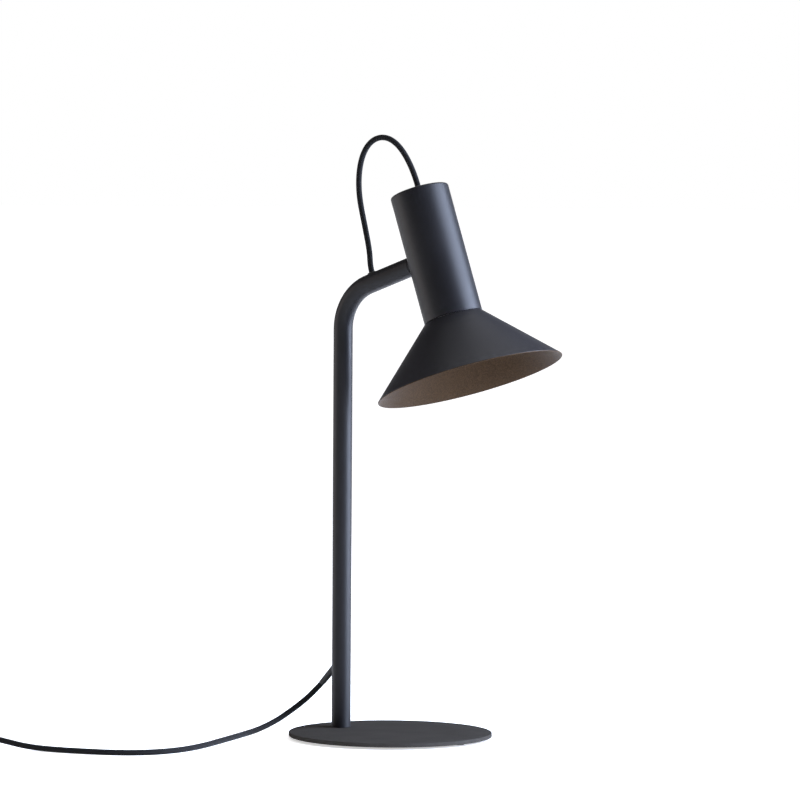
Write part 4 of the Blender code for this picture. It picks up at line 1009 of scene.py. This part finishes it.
def mains_plug():
    """A flat two-pin plug, with a ribbed boot and part-sleeved pins."""
    at = Matrix.Translation((STEM_X + PLUG_PLACE[0], PLUG_PLACE[1], PLUG_THICK / 2))
    plug_moulding(at)
    boot_at = at @ Matrix.Translation((-PLUG_LENGTH - 0.1 * MM, 0, 0)) @ Matrix.Rotation(-math.pi / 2, 4, "Y")
    boot("plug_boot", "plug_relief", boot_at, 25.8 * MM, 5.6 * MM, 3.4 * MM, 6)
    for number, across in enumerate((-PIN_SPACING / 2, PIN_SPACING / 2), 1):
        profile = [(0, PIN_LENGTH)] + arc(1.1 * MM, PIN_LENGTH - 0.9 * MM, 0.9 * MM, 90, 0, 6)
        sleeve_from = len(profile) + 1
        profile += [(2 * MM, 10.4 * MM), (2 * MM, 10.2 * MM), (1.9 * MM, 10 * MM), (1.9 * MM, 0), (0, 0)]
        turn = Matrix.Translation((0.1 * MM, across, 0)) @ Matrix.Rotation(math.pi / 2, 4, "Y")
        name = f"plug_contact_{number}"
        pin = revolve(name, profile, at @ turn, 40, False, [NICKEL, BLACK], sleeve_from)
        stand_for(pin, f"plug_pin_{number}")


def carry_over():
    """The CAD nodes that are still shown keep their shape and take the node material of their slot."""
    for name, node in frame["nodes"].items():
        if node.hide_render:
            continue
        node.data.materials.clear()
        node.data.materials.append(CARRIED_OVER[SLOT_OF[name]])


base_disc()
foot_pads()
stem_body()
exit_sleeve()
arm_bush()
saddle()
head_shell()
cap_nipple()
shade_cone()
clamp_ring()
neck_thread()
spot_lamp()
lamp_front()
SWITCH_AT = Matrix.Translation((STEM_X + SWITCH_PLACE[0], SWITCH_PLACE[1], 0))
switch_shells(SWITCH_AT)
rocker()
coil_tie()
mains_plug()
carry_over()

# ---------------------------------------------------------------- studio


def studio_floor():
    """A wide pale floor that glows a little, so that it reads as white."""
    material = bpy.data.materials.new("studio_floor")
    material.use_nodes = True
    shader = material.node_tree.nodes["Principled BSDF"]
    shader.inputs["Base Color"].default_value = (0.93, 0.93, 0.93, 1)
    shader.inputs["Roughness"].default_value = 0.9
    shader.inputs["Emission Color"].default_value = (1, 1, 1, 1)
    shader.inputs["Emission Strength"].default_value = 0.55
    bpy.ops.mesh.primitive_circle_add(vertices=96, radius=40, fill_type="NGON")
    floor = bpy.context.object
    floor.name = "floor"
    floor.data.materials.append(material)


def soft_box(name, azimuth, elevation, distance, width, height, power, color):
    """An area light that looks at the lamp's middle. Azimuth 0 is at -Y, and 90 is at +X."""
    data = bpy.data.lights.new(name, "AREA")
    data.shape = "RECTANGLE"
    data.size = width
    data.size_y = height
    data.energy = power
    data.color = color
    light = bpy.data.objects.new(name, data)
    bpy.context.scene.collection.objects.link(light)
    a, e = math.radians(azimuth), math.radians(elevation)
    away = Vector((math.sin(a) * math.cos(e), -math.cos(a) * math.cos(e), math.sin(e)))
    target = Vector((0, 0, 0.28))
    light.location = target + away * distance
    light.rotation_mode = "QUATERNION"
    light.rotation_quaternion = away.to_track_quat("Z", "Y")


def studio_light():
    """A room that looks white but lights faintly, a wide overhead light, and three soft boxes."""
    world = bpy.data.worlds.new("studio")
    world.use_nodes = True
    nodes, links = world.node_tree.nodes, world.node_tree.links
    seen = nodes.new("ShaderNodeLightPath").outputs["Is Camera Ray"]
    tone = nodes.new("ShaderNodeMix")
    tone.data_type = "RGBA"
    tone.inputs[6].default_value = (0.1, 0.1, 0.11, 1)
    tone.inputs[7].default_value = (1, 1, 1, 1)
    links.new(seen, tone.inputs["Factor"])
    links.new(tone.outputs[2], nodes["Background"].inputs["Color"])
    bpy.context.scene.world = world
    overhead = bpy.data.lights.new("overhead", "SUN")
    overhead.energy = 1.7
    overhead.angle = math.radians(70)
    light = bpy.data.objects.new("overhead", overhead)
    light.rotation_euler = math.radians(-10), 0, 0
    bpy.context.scene.collection.objects.link(light)
    soft_box("right_box", 122, 12, 1.8, 1.8, 2.1, 260, (0.66, 0.76, 1.0))
    soft_box("left_box", -62, 2, 2.2, 1.2, 2.0, 16, (1.0, 0.9, 0.86))
    soft_box("back_box", 212, 14, 2.6, 2.4, 1.2, 3, (1.0, 0.97, 0.95))


studio_floor()
studio_light()
bpy.context.scene.view_settings.view_transform = "Standard"
